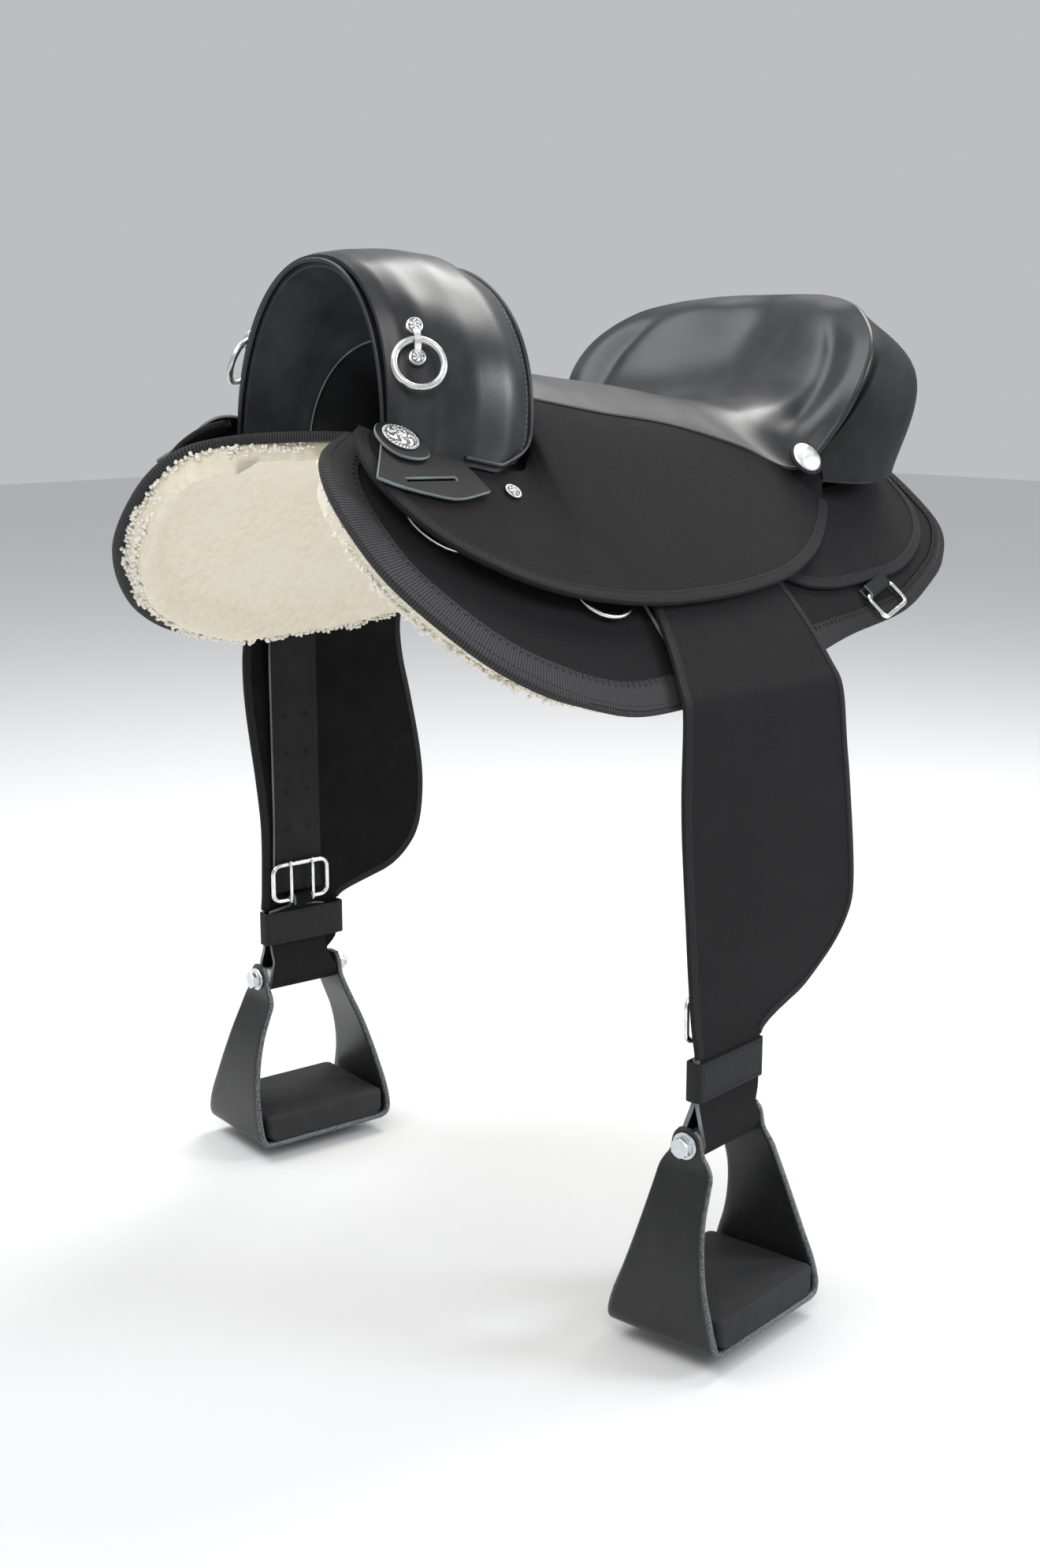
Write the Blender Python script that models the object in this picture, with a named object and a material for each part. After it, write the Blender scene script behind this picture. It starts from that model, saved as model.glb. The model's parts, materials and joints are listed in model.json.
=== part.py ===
# Gaited western saddle with swinging fenders, bell stirrups and hanging rings.
# Metres, +Z up, the front towards -Y, the horse's left side towards +X.
# The origin lies on the centre plane, on the underside line of the panels.

import math

import bmesh
import bpy
from mathutils import Matrix, Vector

# Clearance between pieces that touch
GAP = 0.0003

# The saddle follows a horse's back: a crown line over the spine, and sides that fall at 45 degrees
CROWN_HEIGHT = 0.020
CROWN_MIDDLE = 0.040
CROWN_RISE_FRONT = 0.06
CROWN_FALL_REAR = 0.20
SHOULDER = 0.086
SHOULDER_RADIUS = 0.030
SIDE_BEND_START = 0.200
SIDE_BEND = 2.5

# Layers, as distances along the normal from the skirt's upper skin
FLEECE_UNDER = -0.020
FLEECE_GAP = 0.0032
BAR_UNDER = 0.0014
SKIRT_THICKNESS = 0.006
BAR_TOP = 0.0088
REAR_JOCKEY_THICKNESS = 0.0035
JOCKEY_TOP = 0.0185
JOCKEY_THICKNESS = 0.005
JOCKEY_EDGE_LIFT = 0.0150

# Plan outlines (x, y) of the left half
SKIRT_ROWS = 22
SKIRT_COLUMNS = (0.0, 0.19, 0.30, 0.39, 0.50, 0.73, 1.0)
FLEECE_COLUMNS = 7
SKIRT_FRONT_CENTRE = -0.187
SKIRT_REAR_CENTRE = 0.372
CHANNEL_HALF = 0.028
FLEECE_INSET = 0.011
FLEECE_END_INSET = 0.30
SKIRT_OUTLINE = [
    (0.055, -0.241), (0.096, -0.287), (0.134, -0.301), (0.187, -0.292), (0.239, -0.242),
    (0.268, -0.153), (0.2700, -0.070), (0.2675, 0.010), (0.256, 0.080), (0.244, 0.150),
    (0.229, 0.250), (0.209, 0.313), (0.186, 0.365), (0.155, 0.402), (0.118, 0.398), (0.070, 0.380),
]
REAR_JOCKEY_OUTLINE = [
    (0.208, 0.105), (0.216, 0.130), (0.218, 0.165), (0.214, 0.213), (0.206, 0.268), (0.190, 0.315),
    (0.168, 0.353), (0.143, 0.371), (0.112, 0.368), (0.060, 0.352),
]
JOCKEY_OUTLINE = [
    (0.085, -0.243), (0.093, -0.255), (0.106, -0.264), (0.121, -0.270), (0.137, -0.270),
    (0.160, -0.260), (0.181, -0.240), (0.201, -0.206), (0.215, -0.171), (0.224, -0.130),
    (0.230, -0.076), (0.231, -0.014), (0.228, 0.047), (0.221, 0.100), (0.204, 0.152),
    (0.180, 0.194), (0.166, 0.211),
]

REAR_JOCKEY_INNER = [
    (0.156, 0.108), (0.146, 0.180), (0.141, 0.230), (0.125, 0.290), (0.070, 0.318), (0.0006, 0.326),
]
JOCKEY_ROWS = 24
JOCKEY_TUCK = [
    (0.082, -0.2450), (0.088, -0.2400), (0.096, -0.2350), (0.106, -0.224),
    (0.117, -0.192), (0.126, -0.165), (0.1315, -0.140), (0.1315, -0.119),
]
JOCKEY_WALL = [(0.119, -0.1050, 0.0090), (0.103, -0.0990, 0.0300)]
JOCKEY_SEAM_END = 0.186
BAR_INNER = [
    (0.097, -0.222), (0.082, -0.150), (0.071, -0.090), (0.055, -0.010),
    (0.052, 0.100), (0.056, 0.220), (0.062, 0.290),
]
BAR_OUTER = [
    (0.112, -0.226), (0.126, -0.190), (0.130, -0.130), (0.128, -0.040),
    (0.130, 0.100), (0.134, 0.220), (0.118, 0.290),
]

# Swell: an arched hood from the gullet lip to the rear welt
ARCH_POWER = 2.15
LIP_Y = -0.227
LIP_LEAN = 0.010
WELT_Y = -0.118
WELT_LEAN = 0.027
COVER_THICKNESS = 0.004
HOOD_HALF_WIDTH = [
    (0.0, 0.0970), (0.08, 0.1090), (0.25, 0.121), (0.5, 0.132), (0.75, 0.137), (1.0, 0.130),
]
HOOD_TOP = [
    (0.0, 0.1575), (0.08, 0.1600), (0.25, 0.1625), (0.5, 0.1635), (0.75, 0.1610), (1.0, 0.149),
]
HOOD_STEPS_ALONG = 7
HOOD_STEPS_AROUND = 18
REAR_WALL_STEPS = [(0.97, 0.0035), (0.88, 0.0060), (0.74, 0.0066), (0.52, 0.0066)]
GULLET_HALF_WIDTH = [(0.0, 0.0890), (1.0, 0.0570)]
GULLET_ROWS = 6
FORK_CLEARANCE = 0.0016
GULLET_TOP = [(0.0, 0.1500), (0.35, 0.128), (1.0, 0.058)]
GULLET_REAR = -0.093
LINING_THICKNESS = 0.0025
LIP_WELT_RADIUS = 0.0030

# Seat, as centre, middle and edge points of each cross line, front to rear
SEAT_THICKNESS = 0.007
SEAT_ROWS = 19
SEAT_HALF_COLUMNS = 4
SEAT_LINES = [
    ((0.000, -0.0812, 0.0760), (0.050, -0.0872, 0.0710), (0.0840, -0.0955, 0.0520)),
    ((0.000, 0.0000, 0.0640), (0.050, 0.0000, 0.0600), (0.0960, 0.0000, 0.0350)),
    ((0.000, 0.0750, 0.0550), (0.055, 0.0750, 0.0510), (0.1020, 0.0750, 0.0240)),
    ((0.000, 0.1400, 0.0440), (0.070, 0.1400, 0.0390), (0.1250, 0.1420, 0.0040)),
    ((0.000, 0.1850, 0.0390), (0.090, 0.1850, 0.0320), (0.1520, 0.1880, -0.0160)),
    ((0.000, 0.2150, 0.0400), (0.103, 0.2120, 0.0370), (0.1680, 0.2200, 0.0180)),
    ((0.000, 0.2450, 0.0500), (0.112, 0.2380, 0.0540), (0.1790, 0.2400, 0.0600)),
    ((0.000, 0.2750, 0.0720), (0.108, 0.2620, 0.0840), (0.1700, 0.2640, 0.0930)),
    ((0.000, 0.3000, 0.1000), (0.085, 0.2850, 0.1120), (0.1380, 0.2900, 0.1190)),
    ((0.000, 0.3180, 0.1240), (0.060, 0.3060, 0.1270), (0.1020, 0.3120, 0.1300)),
    ((0.000, 0.3360, 0.1360), (0.035, 0.3340, 0.1360), (0.0650, 0.3290, 0.1350)),
]

# Cantle back, as bulge and base points of each half line, side to centre
CANTLE_BACK_THICKNESS = 0.004
CANTLE_FIRST_ROW = 10
CANTLE_RIM_GAP = 0.0021
CANTLE_LINES = [
    ((0.1620, 0.2100, -0.0190), (0.1620, 0.2120, -0.0270)),
    ((0.1810, 0.2500, 0.0020), (0.1760, 0.2480, -0.0300)),
    ((0.1900, 0.2880, 0.0330), (0.1740, 0.2850, -0.0280)),
    ((0.1780, 0.3200, 0.0560), (0.1560, 0.3180, -0.0200)),
    ((0.1450, 0.3480, 0.0720), (0.1260, 0.3420, -0.0080)),
    ((0.1020, 0.3630, 0.0800), (0.0860, 0.3540, 0.0060)),
    ((0.0560, 0.3710, 0.0840), (0.0440, 0.3600, 0.0130)),
    ((0.0000, 0.3730, 0.0850), (0.0000, 0.3620, 0.0160)),
]

# Fender and stirrup leather: down the skirt, then straight down to the bolt
LEATHER_X = 0.281
LEATHER_Y = -0.045
BOLT_Z = -0.528
TWIST_DEG = 6.0
TWIST_TOP = -0.360
TWIST_END = -0.455
SLOPE_FEET = (0.198, 0.214, 0.230, 0.244, 0.256, 0.265, 0.271)
FENDER_LIFT = 0.0077
FENDER_THICKNESS = 0.0040
FENDER_COLUMNS = 3
FENDER_DROP = [
    (0.2788, -0.188), (0.2796, -0.208), (0.2795, -0.240), (0.2795, -0.280), (0.2795, -0.320),
    (0.2795, -0.355), (0.2795, -0.385), (0.2797, -0.405), (0.2800, -0.420), (0.2807, -0.433),
    (0.2818, -0.444), (0.2832, -0.453), (0.2840, -0.460), (0.2840, -0.4955), (0.2885, -0.512),
]
LEATHER_LIFT = 0.0037
LEATHER_THICKNESS = 0.0030
LEATHER_DROP = [
    (0.2742, -0.188), (0.2750, -0.206), (0.2750, -0.260), (0.2750, -0.330), (0.2750, -0.370),
    (0.2750, -0.400), (0.2750, -0.4200), (0.2750, -0.4415),
]
LEATHER_EDGES = (-0.0725, -0.0175)
LEATHER_COLUMNS = 2
TAB_HALF_WIDTH = 0.0090
SWING_FOOT = (0.235, -0.055)
SWING_TILT_DEG = 36.0
FENDER_EDGES = [
    (0.085, -0.060, 0.085), (0.115, -0.070, 0.092), (0.145, -0.080, 0.094), (0.180, -0.093, 0.094),
    (0.220, -0.096, 0.098), (0.263, -0.094, 0.107), (0.325, -0.087, 0.118), (0.365, -0.083, 0.120),
    (0.395, -0.0815, 0.112), (0.415, -0.0810, 0.098), (0.435, -0.0805, 0.070), (0.447, -0.0800, 0.030),
    (0.459, -0.0800, 0.0045), (0.498, -0.0800, 0.0030), (0.515, -0.0815, -0.0085),
]
BILLET_EDGES = (-0.0760, -0.0140)
STRAP_HOLE_RADIUS = 0.0026
STRAP_HOLE_PITCH = 0.038
STRAP_HOLE_FIRST_Z = -0.264
STRAP_HOLE_COUNT = 4

# Sleeve, buckle, hobble strap and bolt
SLEEVE_RADIUS = 0.0090
SLEEVE_BORE = 0.0053
SLEEVE_LENGTH = 0.076
LOOP_RADIUS = 0.0113
BUCKLE_CENTRE = (0.270, -0.431)
BUCKLE_WIDTH = 0.062
BUCKLE_HEIGHT = 0.036
BUCKLE_WIRE = 0.0023
BUCKLE_TURN_DEG = 5.0
TONGUE_OFFSET = 0.0125
TONGUE_WIDTH = 0.0040
TONGUE_THICKNESS = 0.0018
HOBBLE_TOP = -0.4620
HOBBLE_BOTTOM = -0.494
HOBBLE_THICKNESS = 0.0025
HOBBLE_INSIDE = (0.2754, 0.2866, -0.0808, 0.0053)
BOLT_RADIUS = 0.005
WASHER_RADIUS = 0.011
HEX_RADIUS = 0.0092

# Stirrup, as offset from its centre, height over its base and half width of each station
TREAD_Z = -0.686
PLATE_THICKNESS = 0.0055
EAR_OFFSET = 0.0425
PAD_THICKNESS = 0.025
PAD_HALF_DEPTH = 0.0525
PAD_HALF_LENGTH = 0.0670
PAD_CHAMFER = 0.0050
STIRRUP_SIDE = [
    (0.0425, 0.1710, 0.0080), (0.0425, 0.1650, 0.0130), (0.0425, 0.1510, 0.0165),
    (0.0425, 0.1440, 0.0215), (0.0440, 0.1360, 0.0255), (0.0490, 0.1240, 0.0268),
    (0.0575, 0.1040, 0.0290), (0.0650, 0.0800, 0.0335), (0.0705, 0.0550, 0.0400),
    (0.0735, 0.0320, 0.0480), (0.0735, 0.0140, 0.0530), (0.0705, 0.0055, 0.0540),
    (0.0630, 0.0028, 0.0540),
]

# Rings, clips, dees, conchos and keepers
RING_RADIUS = 0.0190
RING_WIRE = 0.0025
RING_SPOT = (0.16, 0.518)
RING_STAND_OFF = 0.0064
CLIP_STATIONS = [
    (-0.0170, 0.0050, 0.0008), (-0.0155, 0.0052, 0.0038), (-0.0125, 0.0054, 0.0050),
    (-0.0085, 0.0076, 0.0040), (-0.0045, 0.0104, 0.0024), (0.0, 0.0116, 0.0022),
    (0.0045, 0.0104, 0.0024), (0.0085, 0.0076, 0.0040), (0.0125, 0.0054, 0.0050),
    (0.0155, 0.0052, 0.0038), (0.0170, 0.0050, 0.0008),
]
DEE_WIRE = 0.0021
CONCHO_RADIUS = 0.0150
REAR_CONCHO_RADIUS = 0.0140
SCREW_RADIUS = 0.0070
FRONT_CONCHO = (0.1010, -0.2330)
SEAT_SCREW = (0.138, -0.150)
REAR_CONCHO = (0.1520, 0.1930, -0.0140)
REAR_CONCHO_FACING = (0.80, -0.14, 0.58)
REAR_CONCHO_LIFT = 0.0118
DEE_LIFT = 0.0046
FRONT_DEE = ((0.145, -0.216), (0.74, -0.66))
REAR_DEE = ((0.197, -0.1090), (1.0, -0.05))
SKIRT_DEE = ((0.2190, 0.219), (0.97, 0.25))
TAB_THICKNESS = 0.0016
KEEPER_TOP = 0.0240
KEEPER_THICKNESS = 0.0028
KEEPER_INNER = [(0.100, -0.248), (0.1015, -0.240), (0.106, -0.226), (0.1115, -0.208), (0.1170, -0.186)]
KEEPER_OUTER = [(0.128, -0.277), (0.134, -0.262), (0.1400, -0.240), (0.1445, -0.214), (0.1400, -0.178)]
KEEPER_SLOT = ((0.130, -0.230), 0.036, 0.0035)

# Colours: linear RGB, metallic, roughness
LEATHER = ((0.018, 0.018, 0.020), 0.0, 0.38)
CORDURA = ((0.016, 0.016, 0.017), 0.0, 0.85)
SKIRTING = ((0.014, 0.014, 0.015), 0.0, 0.80)
FLEECE = ((0.80, 0.73, 0.56), 0.0, 1.0)
NICKEL = ((0.80, 0.80, 0.80), 1.0, 0.18)
STEEL = ((0.55, 0.56, 0.57), 1.0, 0.35)
TREE = ((0.022, 0.021, 0.020), 0.0, 0.7)
STIRRUP_BLACK = ((0.020, 0.020, 0.021), 0.0, 0.42)
RUBBER = ((0.030, 0.030, 0.031), 0.0, 0.9)


# Scene helpers
def clear_scene():
    for obj in list(bpy.data.objects):
        bpy.data.objects.remove(obj, do_unlink=True)


def material(finish, name):
    """One Principled material for each object."""
    colour, metallic, roughness = finish
    mat = bpy.data.materials.new(name)
    mat.use_nodes = True
    shader = mat.node_tree.nodes["Principled BSDF"]
    shader.inputs["Base Color"].default_value = (*colour, 1.0)
    shader.inputs["Metallic"].default_value = metallic
    shader.inputs["Roughness"].default_value = roughness
    mat.diffuse_color = (*colour, 1.0)
    return mat


def add_object(name, bm, finish, side=0, pivot=None):
    """Turn a bmesh made in world coordinates into an object.

    A side of -1 mirrors it to the horse's right. A piece that moves hangs under a pivot empty.
    """
    if side:
        name += "_left" if side > 0 else "_right"
    if side < 0:
        bmesh.ops.transform(bm, matrix=Matrix.Diagonal((-1, 1, 1, 1)), verts=bm.verts[:])
    bmesh.ops.recalc_face_normals(bm, faces=bm.faces[:])
    if pivot is not None:
        bmesh.ops.transform(bm, matrix=pivot.matrix_world.inverted(), verts=bm.verts[:])
    mesh = bpy.data.meshes.new(name)
    bm.to_mesh(mesh)
    bm.free()
    mesh.shade_smooth()
    mesh.set_sharp_from_angle(angle=math.radians(40))
    mesh.materials.append(material(finish, name))
    obj = bpy.data.objects.new(name, mesh)
    bpy.context.scene.collection.objects.link(obj)
    if pivot is not None:
        obj.parent = pivot
    return obj


def combine(obj, bm, operation, side, pivot=None):
    """Join a second shape to an object, or cut it away, with a Boolean."""
    other = add_object(obj.name + "_tool", bm, STEEL, 0 if side > 0 else side, pivot)
    other.name = obj.name + "_tool_" + str(len(obj.modifiers))
    other.hide_render = True
    other.display_type = "WIRE"
    boolean = obj.modifiers.new(operation.lower(), "BOOLEAN")
    boolean.operation = operation
    boolean.solver = "EXACT"
    boolean.object = other


def add_pivot(name, side, origin, axis):
    """An empty on a joint's axis, which is its local X."""
    empty = bpy.data.objects.new(name + ("_left" if side > 0 else "_right"), None)
    bpy.context.scene.collection.objects.link(empty)
    axis = Vector(axis)
    place = frame_matrix(Vector(origin), axis, axis.orthogonal())
    if side < 0:
        place = frame_matrix(mirrored(origin), mirrored(axis), mirrored(axis).orthogonal())
    empty.matrix_world = place
    bpy.context.view_layer.update()
    return empty


def mirrored(point):
    return Vector((-point[0], point[1], point[2]))


# Curves and grids
def curve(points, count):
    """Sample a smooth curve through the points, evenly by chord length."""
    pts = [Vector(tuple(p) + (0.0,) * (3 - len(p))) for p in points]
    knots = [0.0]
    for a, b in zip(pts, pts[1:]):
        knots.append(knots[-1] + (b - a).length)
    slopes = []
    for i in range(len(pts)):
        lo, hi = max(i - 1, 0), min(i + 1, len(pts) - 1)
        slopes.append((pts[hi] - pts[lo]) / (knots[hi] - knots[lo]))
    samples = []
    for k in range(count):
        s = knots[-1] * k / (count - 1)
        i = 0
        while i < len(pts) - 2 and s > knots[i + 1]:
            i += 1
        span = knots[i + 1] - knots[i]
        t = (s - knots[i]) / span
        start = pts[i] * (2 * t**3 - 3 * t**2 + 1) + slopes[i] * span * (t**3 - 2 * t**2 + t)
        end = pts[i + 1] * (3 * t**2 - 2 * t**3) + slopes[i + 1] * span * (t**3 - t**2)
        samples.append(start + end)
    return samples


def ramp(table, x):
    """Read a smooth value from (x, value) pairs."""
    if x <= table[0][0]:
        return table[0][1]
    for (xa, va), (xb, vb) in zip(table, table[1:]):
        if x <= xb:
            t = (x - xa) / (xb - xa)
            return va + (vb - va) * (t * t * (3 - 2 * t) * 0.5 + t * 0.5)
    return table[-1][1]


def smoothstep(x, low, high):
    t = min(max((x - low) / (high - low), 0.0), 1.0)
    return t * t * (3 - 2 * t)


def offset_grid(grid, distance):
    """Move a grid of points along its normals."""
    rows, cols = len(grid), len(grid[0])
    moved = []
    for i in range(rows):
        line = []
        for j in range(cols):
            along = grid[min(i + 1, rows - 1)][j] - grid[max(i - 1, 0)][j]
            across = grid[i][min(j + 1, cols - 1)] - grid[i][max(j - 1, 0)]
            line.append(grid[i][j] + along.cross(across).normalized() * distance)
        moved.append(line)
    return moved


def grid_solid(top, bottom):
    """Close two facing grids into one solid with a rim."""
    bm = bmesh.new()
    rows, cols = len(top), len(top[0])
    upper = [[bm.verts.new(p) for p in line] for line in top]
    lower = [[bm.verts.new(p) for p in line] for line in bottom]
    for i in range(rows - 1):
        for j in range(cols - 1):
            bm.faces.new((upper[i][j], upper[i + 1][j], upper[i + 1][j + 1], upper[i][j + 1]))
            bm.faces.new((lower[i][j], lower[i][j + 1], lower[i + 1][j + 1], lower[i + 1][j]))
    border = [(0, j) for j in range(cols)] + [(i, cols - 1) for i in range(1, rows)]
    border += [(rows - 1, j) for j in range(cols - 2, -1, -1)] + [(i, 0) for i in range(rows - 2, 0, -1)]
    for (a, b), (c, d) in zip(border, border[1:] + border[:1]):
        bm.faces.new((upper[a][b], upper[c][d], lower[c][d], lower[a][b]))
    return bm


def loop_solid(loops, closed=False):
    """Skin a row of equal loops. Open rows get flat caps."""
    bm = bmesh.new()
    rings = [[bm.verts.new(p) for p in loop] for loop in loops]
    pairs = list(zip(rings, rings[1:]))
    if closed:
        pairs.append((rings[-1], rings[0]))
    for a, b in pairs:
        for k in range(len(a)):
            n = (k + 1) % len(a)
            bm.faces.new((a[k], a[n], b[n], b[k]))
    if not closed:
        bm.faces.new(rings[0])
        bm.faces.new(list(reversed(rings[-1])))
    return bm


def tube(path, radius, sides, closed=False):
    """A round bar along a path. The radius may be a list with one value for each point."""
    pts = [Vector(p) for p in path]
    count = len(pts)
    loops = []
    guide = None
    for i, p in enumerate(pts):
        ahead = pts[(i + 1) % count] if closed else pts[min(i + 1, count - 1)]
        behind = pts[i - 1] if closed or i else pts[0]
        tangent = (ahead - behind).normalized()
        if guide is None:
            guide = tangent.orthogonal().normalized()
        guide = (guide - tangent * guide.dot(tangent)).normalized()
        other = tangent.cross(guide)
        size = radius[i] if isinstance(radius, list) else radius
        ring = []
        for k in range(sides):
            a = 2 * math.pi * k / sides
            ring.append(p + (guide * math.cos(a) + other * math.sin(a)) * size)
        loops.append(ring)
    return loop_solid(loops, closed)


def ribbon(path, edges, thickness, columns):
    """A flat strap along a path in the XZ plane, with the (y, y) edges of each point."""
    top, bottom = [], []
    for i, p in enumerate(path):
        along = path[min(i + 1, len(path) - 1)] - path[max(i - 1, 0)]
        side = Vector((-along.z, 0, along.x)).normalized() * thickness / 2
        start, width = edges[i][0], edges[i][1] - edges[i][0]
        marks = [start + width * k / columns for k in range(columns + 1)]
        top.append([Vector((p.x, y, p.z)) + side for y in marks])
        bottom.append([Vector((p.x, y, p.z)) - side for y in marks])
    return top, bottom


def arc(centre, radius, start, stop, count):
    """Points of an arc in the XZ plane, angles in degrees."""
    points = []
    for k in range(count):
        a = math.radians(start + (stop - start) * k / (count - 1))
        points.append(Vector((centre[0] + radius * math.cos(a), 0, centre[1] + radius * math.sin(a))))
    return points


def lathe(profile, place, sides):
    """Turn a closed (radius, height) profile about the Z axis of a place matrix."""
    loops = []
    for k in range(sides):
        a = 2 * math.pi * k / sides
        loops.append([place @ Vector((r * math.cos(a), r * math.sin(a), z)) for r, z in profile])
    return loop_solid(loops, closed=True)


def dome(radius, height, place, sides, rings=3, foot=0.0015):
    """A solid button: a short wall and a domed face, on the Z axis of a place matrix."""
    bm = bmesh.new()
    levels = [(radius, 0.0), (radius, foot)]
    for k in range(1, rings):
        a = math.pi / 2 * k / rings
        levels.append((radius * math.cos(a), foot + height * math.sin(a)))
    circles = []
    for r, z in levels:
        ring = []
        for k in range(sides):
            a = 2 * math.pi * k / sides
            ring.append(bm.verts.new(place @ Vector((r * math.cos(a), r * math.sin(a), z))))
        circles.append(ring)
    for a, b in zip(circles, circles[1:]):
        for k in range(sides):
            bm.faces.new((a[k], a[(k + 1) % sides], b[(k + 1) % sides], b[k]))
    bm.faces.new(list(reversed(circles[0])))
    tip = bm.verts.new(place @ Vector((0, 0, foot + height)))
    for k in range(sides):
        bm.faces.new((circles[-1][k], circles[-1][(k + 1) % sides], tip))
    return bm


def frame_matrix(origin, x_axis, z_axis):
    """A place matrix from an origin, an X axis and an approximate Z axis."""
    x_axis = x_axis.normalized()
    z_axis = (z_axis - x_axis * z_axis.dot(x_axis)).normalized()
    y_axis = z_axis.cross(x_axis)
    matrix = Matrix((x_axis, y_axis, z_axis)).transposed().to_4x4()
    matrix.translation = origin
    return matrix


# The back surface
def back_height(x, y):
    """Height of the skirt's upper skin over a plan point."""
    rise = CROWN_RISE_FRONT if y < CROWN_MIDDLE else -CROWN_FALL_REAR
    out = abs(x) - SHOULDER
    drop = (math.hypot(out, SHOULDER_RADIUS) + out) / 2
    if abs(x) > SIDE_BEND_START:
        drop += SIDE_BEND * (abs(x) - SIDE_BEND_START) ** 2
    return CROWN_HEIGHT + rise * (y - CROWN_MIDDLE) ** 2 - drop


def back_normal(x, y):
    step = 1e-4
    dx = (back_height(x + step, y) - back_height(x - step, y)) / (2 * step)
    dy = (back_height(x, y + step) - back_height(x, y - step)) / (2 * step)
    return Vector((-dx, -dy, 1.0)).normalized()


def on_back(x, y, lift):
    """The point at a distance above the skirt's upper skin."""
    return Vector((x, y, back_height(x, y))) + back_normal(x, y) * lift


def height_over_back(x, y, lift):
    """Height at a plan point of the layer at a given lift."""
    return back_height(x, y) + lift / back_normal(x, y).z


def footprint(point):
    """The plan point and lift whose place on the back is the given point."""
    x, y = point.x, point.y
    lift = 0.0
    for _ in range(20):
        normal = back_normal(x, y)
        lift = (point - Vector((x, y, back_height(x, y)))).dot(normal)
        x, y = point.x - normal.x * lift, point.y - normal.y * lift
    return x, y, lift


def plan_feet(outline, lift):
    """The plan points on the back that lie under an outline seen at a given lift."""
    feet = []
    for x, y in outline:
        foot = footprint(Vector((x, y, height_over_back(x, y, lift))))
        feet.append((foot[0], foot[1]))
    return feet


def draped_grid(inner, outer, columns, lift_of):
    """Points on the back between two plan lines. lift_of takes the fraction across and the row."""
    grid = []
    for row, (a, b) in enumerate(zip(inner, outer)):
        line = []
        for u in columns:
            p = a.lerp(b, u)
            line.append(on_back(p.x, p.y, lift_of(u, row)))
        grid.append(line)
    return grid


def even(count):
    return [k / (count - 1) for k in range(count)]


def draped_panel(inner, outer, columns, top, bottom):
    return grid_solid(
        draped_grid(inner, outer, columns, top),
        draped_grid(inner, outer, columns, bottom),
    )


def along_row(line, columns, u):
    """Read a row of points at a fraction between its columns."""
    k = 0
    while k < len(columns) - 2 and u > columns[k + 1]:
        k += 1
    return line[k].lerp(line[k + 1], (u - columns[k]) / (columns[k + 1] - columns[k]))


# Skirts, fleece and tree bars
def build_skirt(side):
    """The skirt, and the fleece under it, whose facets follow the skirt's."""
    outer = curve(SKIRT_OUTLINE, SKIRT_ROWS)
    inner = curve([(GAP, SKIRT_FRONT_CENTRE), (GAP, 0.05), (GAP, SKIRT_REAR_CENTRE)], SKIRT_ROWS)
    skin = draped_grid(inner, outer, SKIRT_COLUMNS, lambda u, row: 0.0)
    under = draped_grid(inner, outer, SKIRT_COLUMNS, lambda u, row: -SKIRT_THICKNESS)
    add_object("skirt", grid_solid(skin, under), SKIRTING, side)
    pile_top = draped_grid(inner, outer, SKIRT_COLUMNS, lambda u, row: -SKIRT_THICKNESS - FLEECE_GAP)
    pile_under = draped_grid(inner, outer, SKIRT_COLUMNS, lambda u, row: FLEECE_UNDER)
    top, bottom = [], []
    for row in range(SKIRT_ROWS):
        width = (outer[row] - inner[row]).length
        start = (CHANNEL_HALF - GAP) / (outer[row].x - inner[row].x)
        stop = 1.0 - FLEECE_INSET / width
        marks = [start + (stop - start) * k / (FLEECE_COLUMNS - 1) for k in range(FLEECE_COLUMNS)]
        top.append([along_row(pile_top[row], SKIRT_COLUMNS, u) for u in marks])
        bottom.append([along_row(pile_under[row], SKIRT_COLUMNS, u) for u in marks])
    for grid in (top, bottom):
        for end, near in ((0, 1), (-1, -2)):
            grid[end] = [p.lerp(q, FLEECE_END_INSET) for p, q in zip(grid[end], grid[near])]
    add_object("fleece", grid_solid(top, bottom), FLEECE, side)


def build_bar(side):
    rows = 14
    inner = curve(BAR_INNER, rows)
    outer = curve(BAR_OUTER, rows)
    bar = draped_panel(inner, outer, even(4), lambda u, row: BAR_TOP, lambda u, row: BAR_UNDER)
    add_object("tree_bar", bar, TREE, side)


# Swell
def arch_point(half_width, base, top, angle):
    """A point of a rounded arch. Angle 0 is the left foot, pi the right foot."""
    c, s = math.cos(angle), max(math.sin(angle), 0.0)
    x = math.copysign(abs(c) ** (2 / ARCH_POWER), c) * half_width
    return x, base + (top - base) * s ** (2 / ARCH_POWER)


def hood_point(u, angle):
    """A point of the swell's outer skin. u runs from the lip to the rear welt."""
    half_width = ramp(HOOD_HALF_WIDTH, u)
    s = max(math.sin(angle), 0.0)
    front = LIP_Y + LIP_LEAN * s
    rear = WELT_Y + WELT_LEAN * s**0.7
    y = front + (rear - front) * u
    base = height_over_back(half_width, LIP_Y + (WELT_Y - LIP_Y) * u, JOCKEY_TOP + 0.0012)
    x, z = arch_point(half_width, base, ramp(HOOD_TOP, u), angle)
    return Vector((x, y, z))


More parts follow.
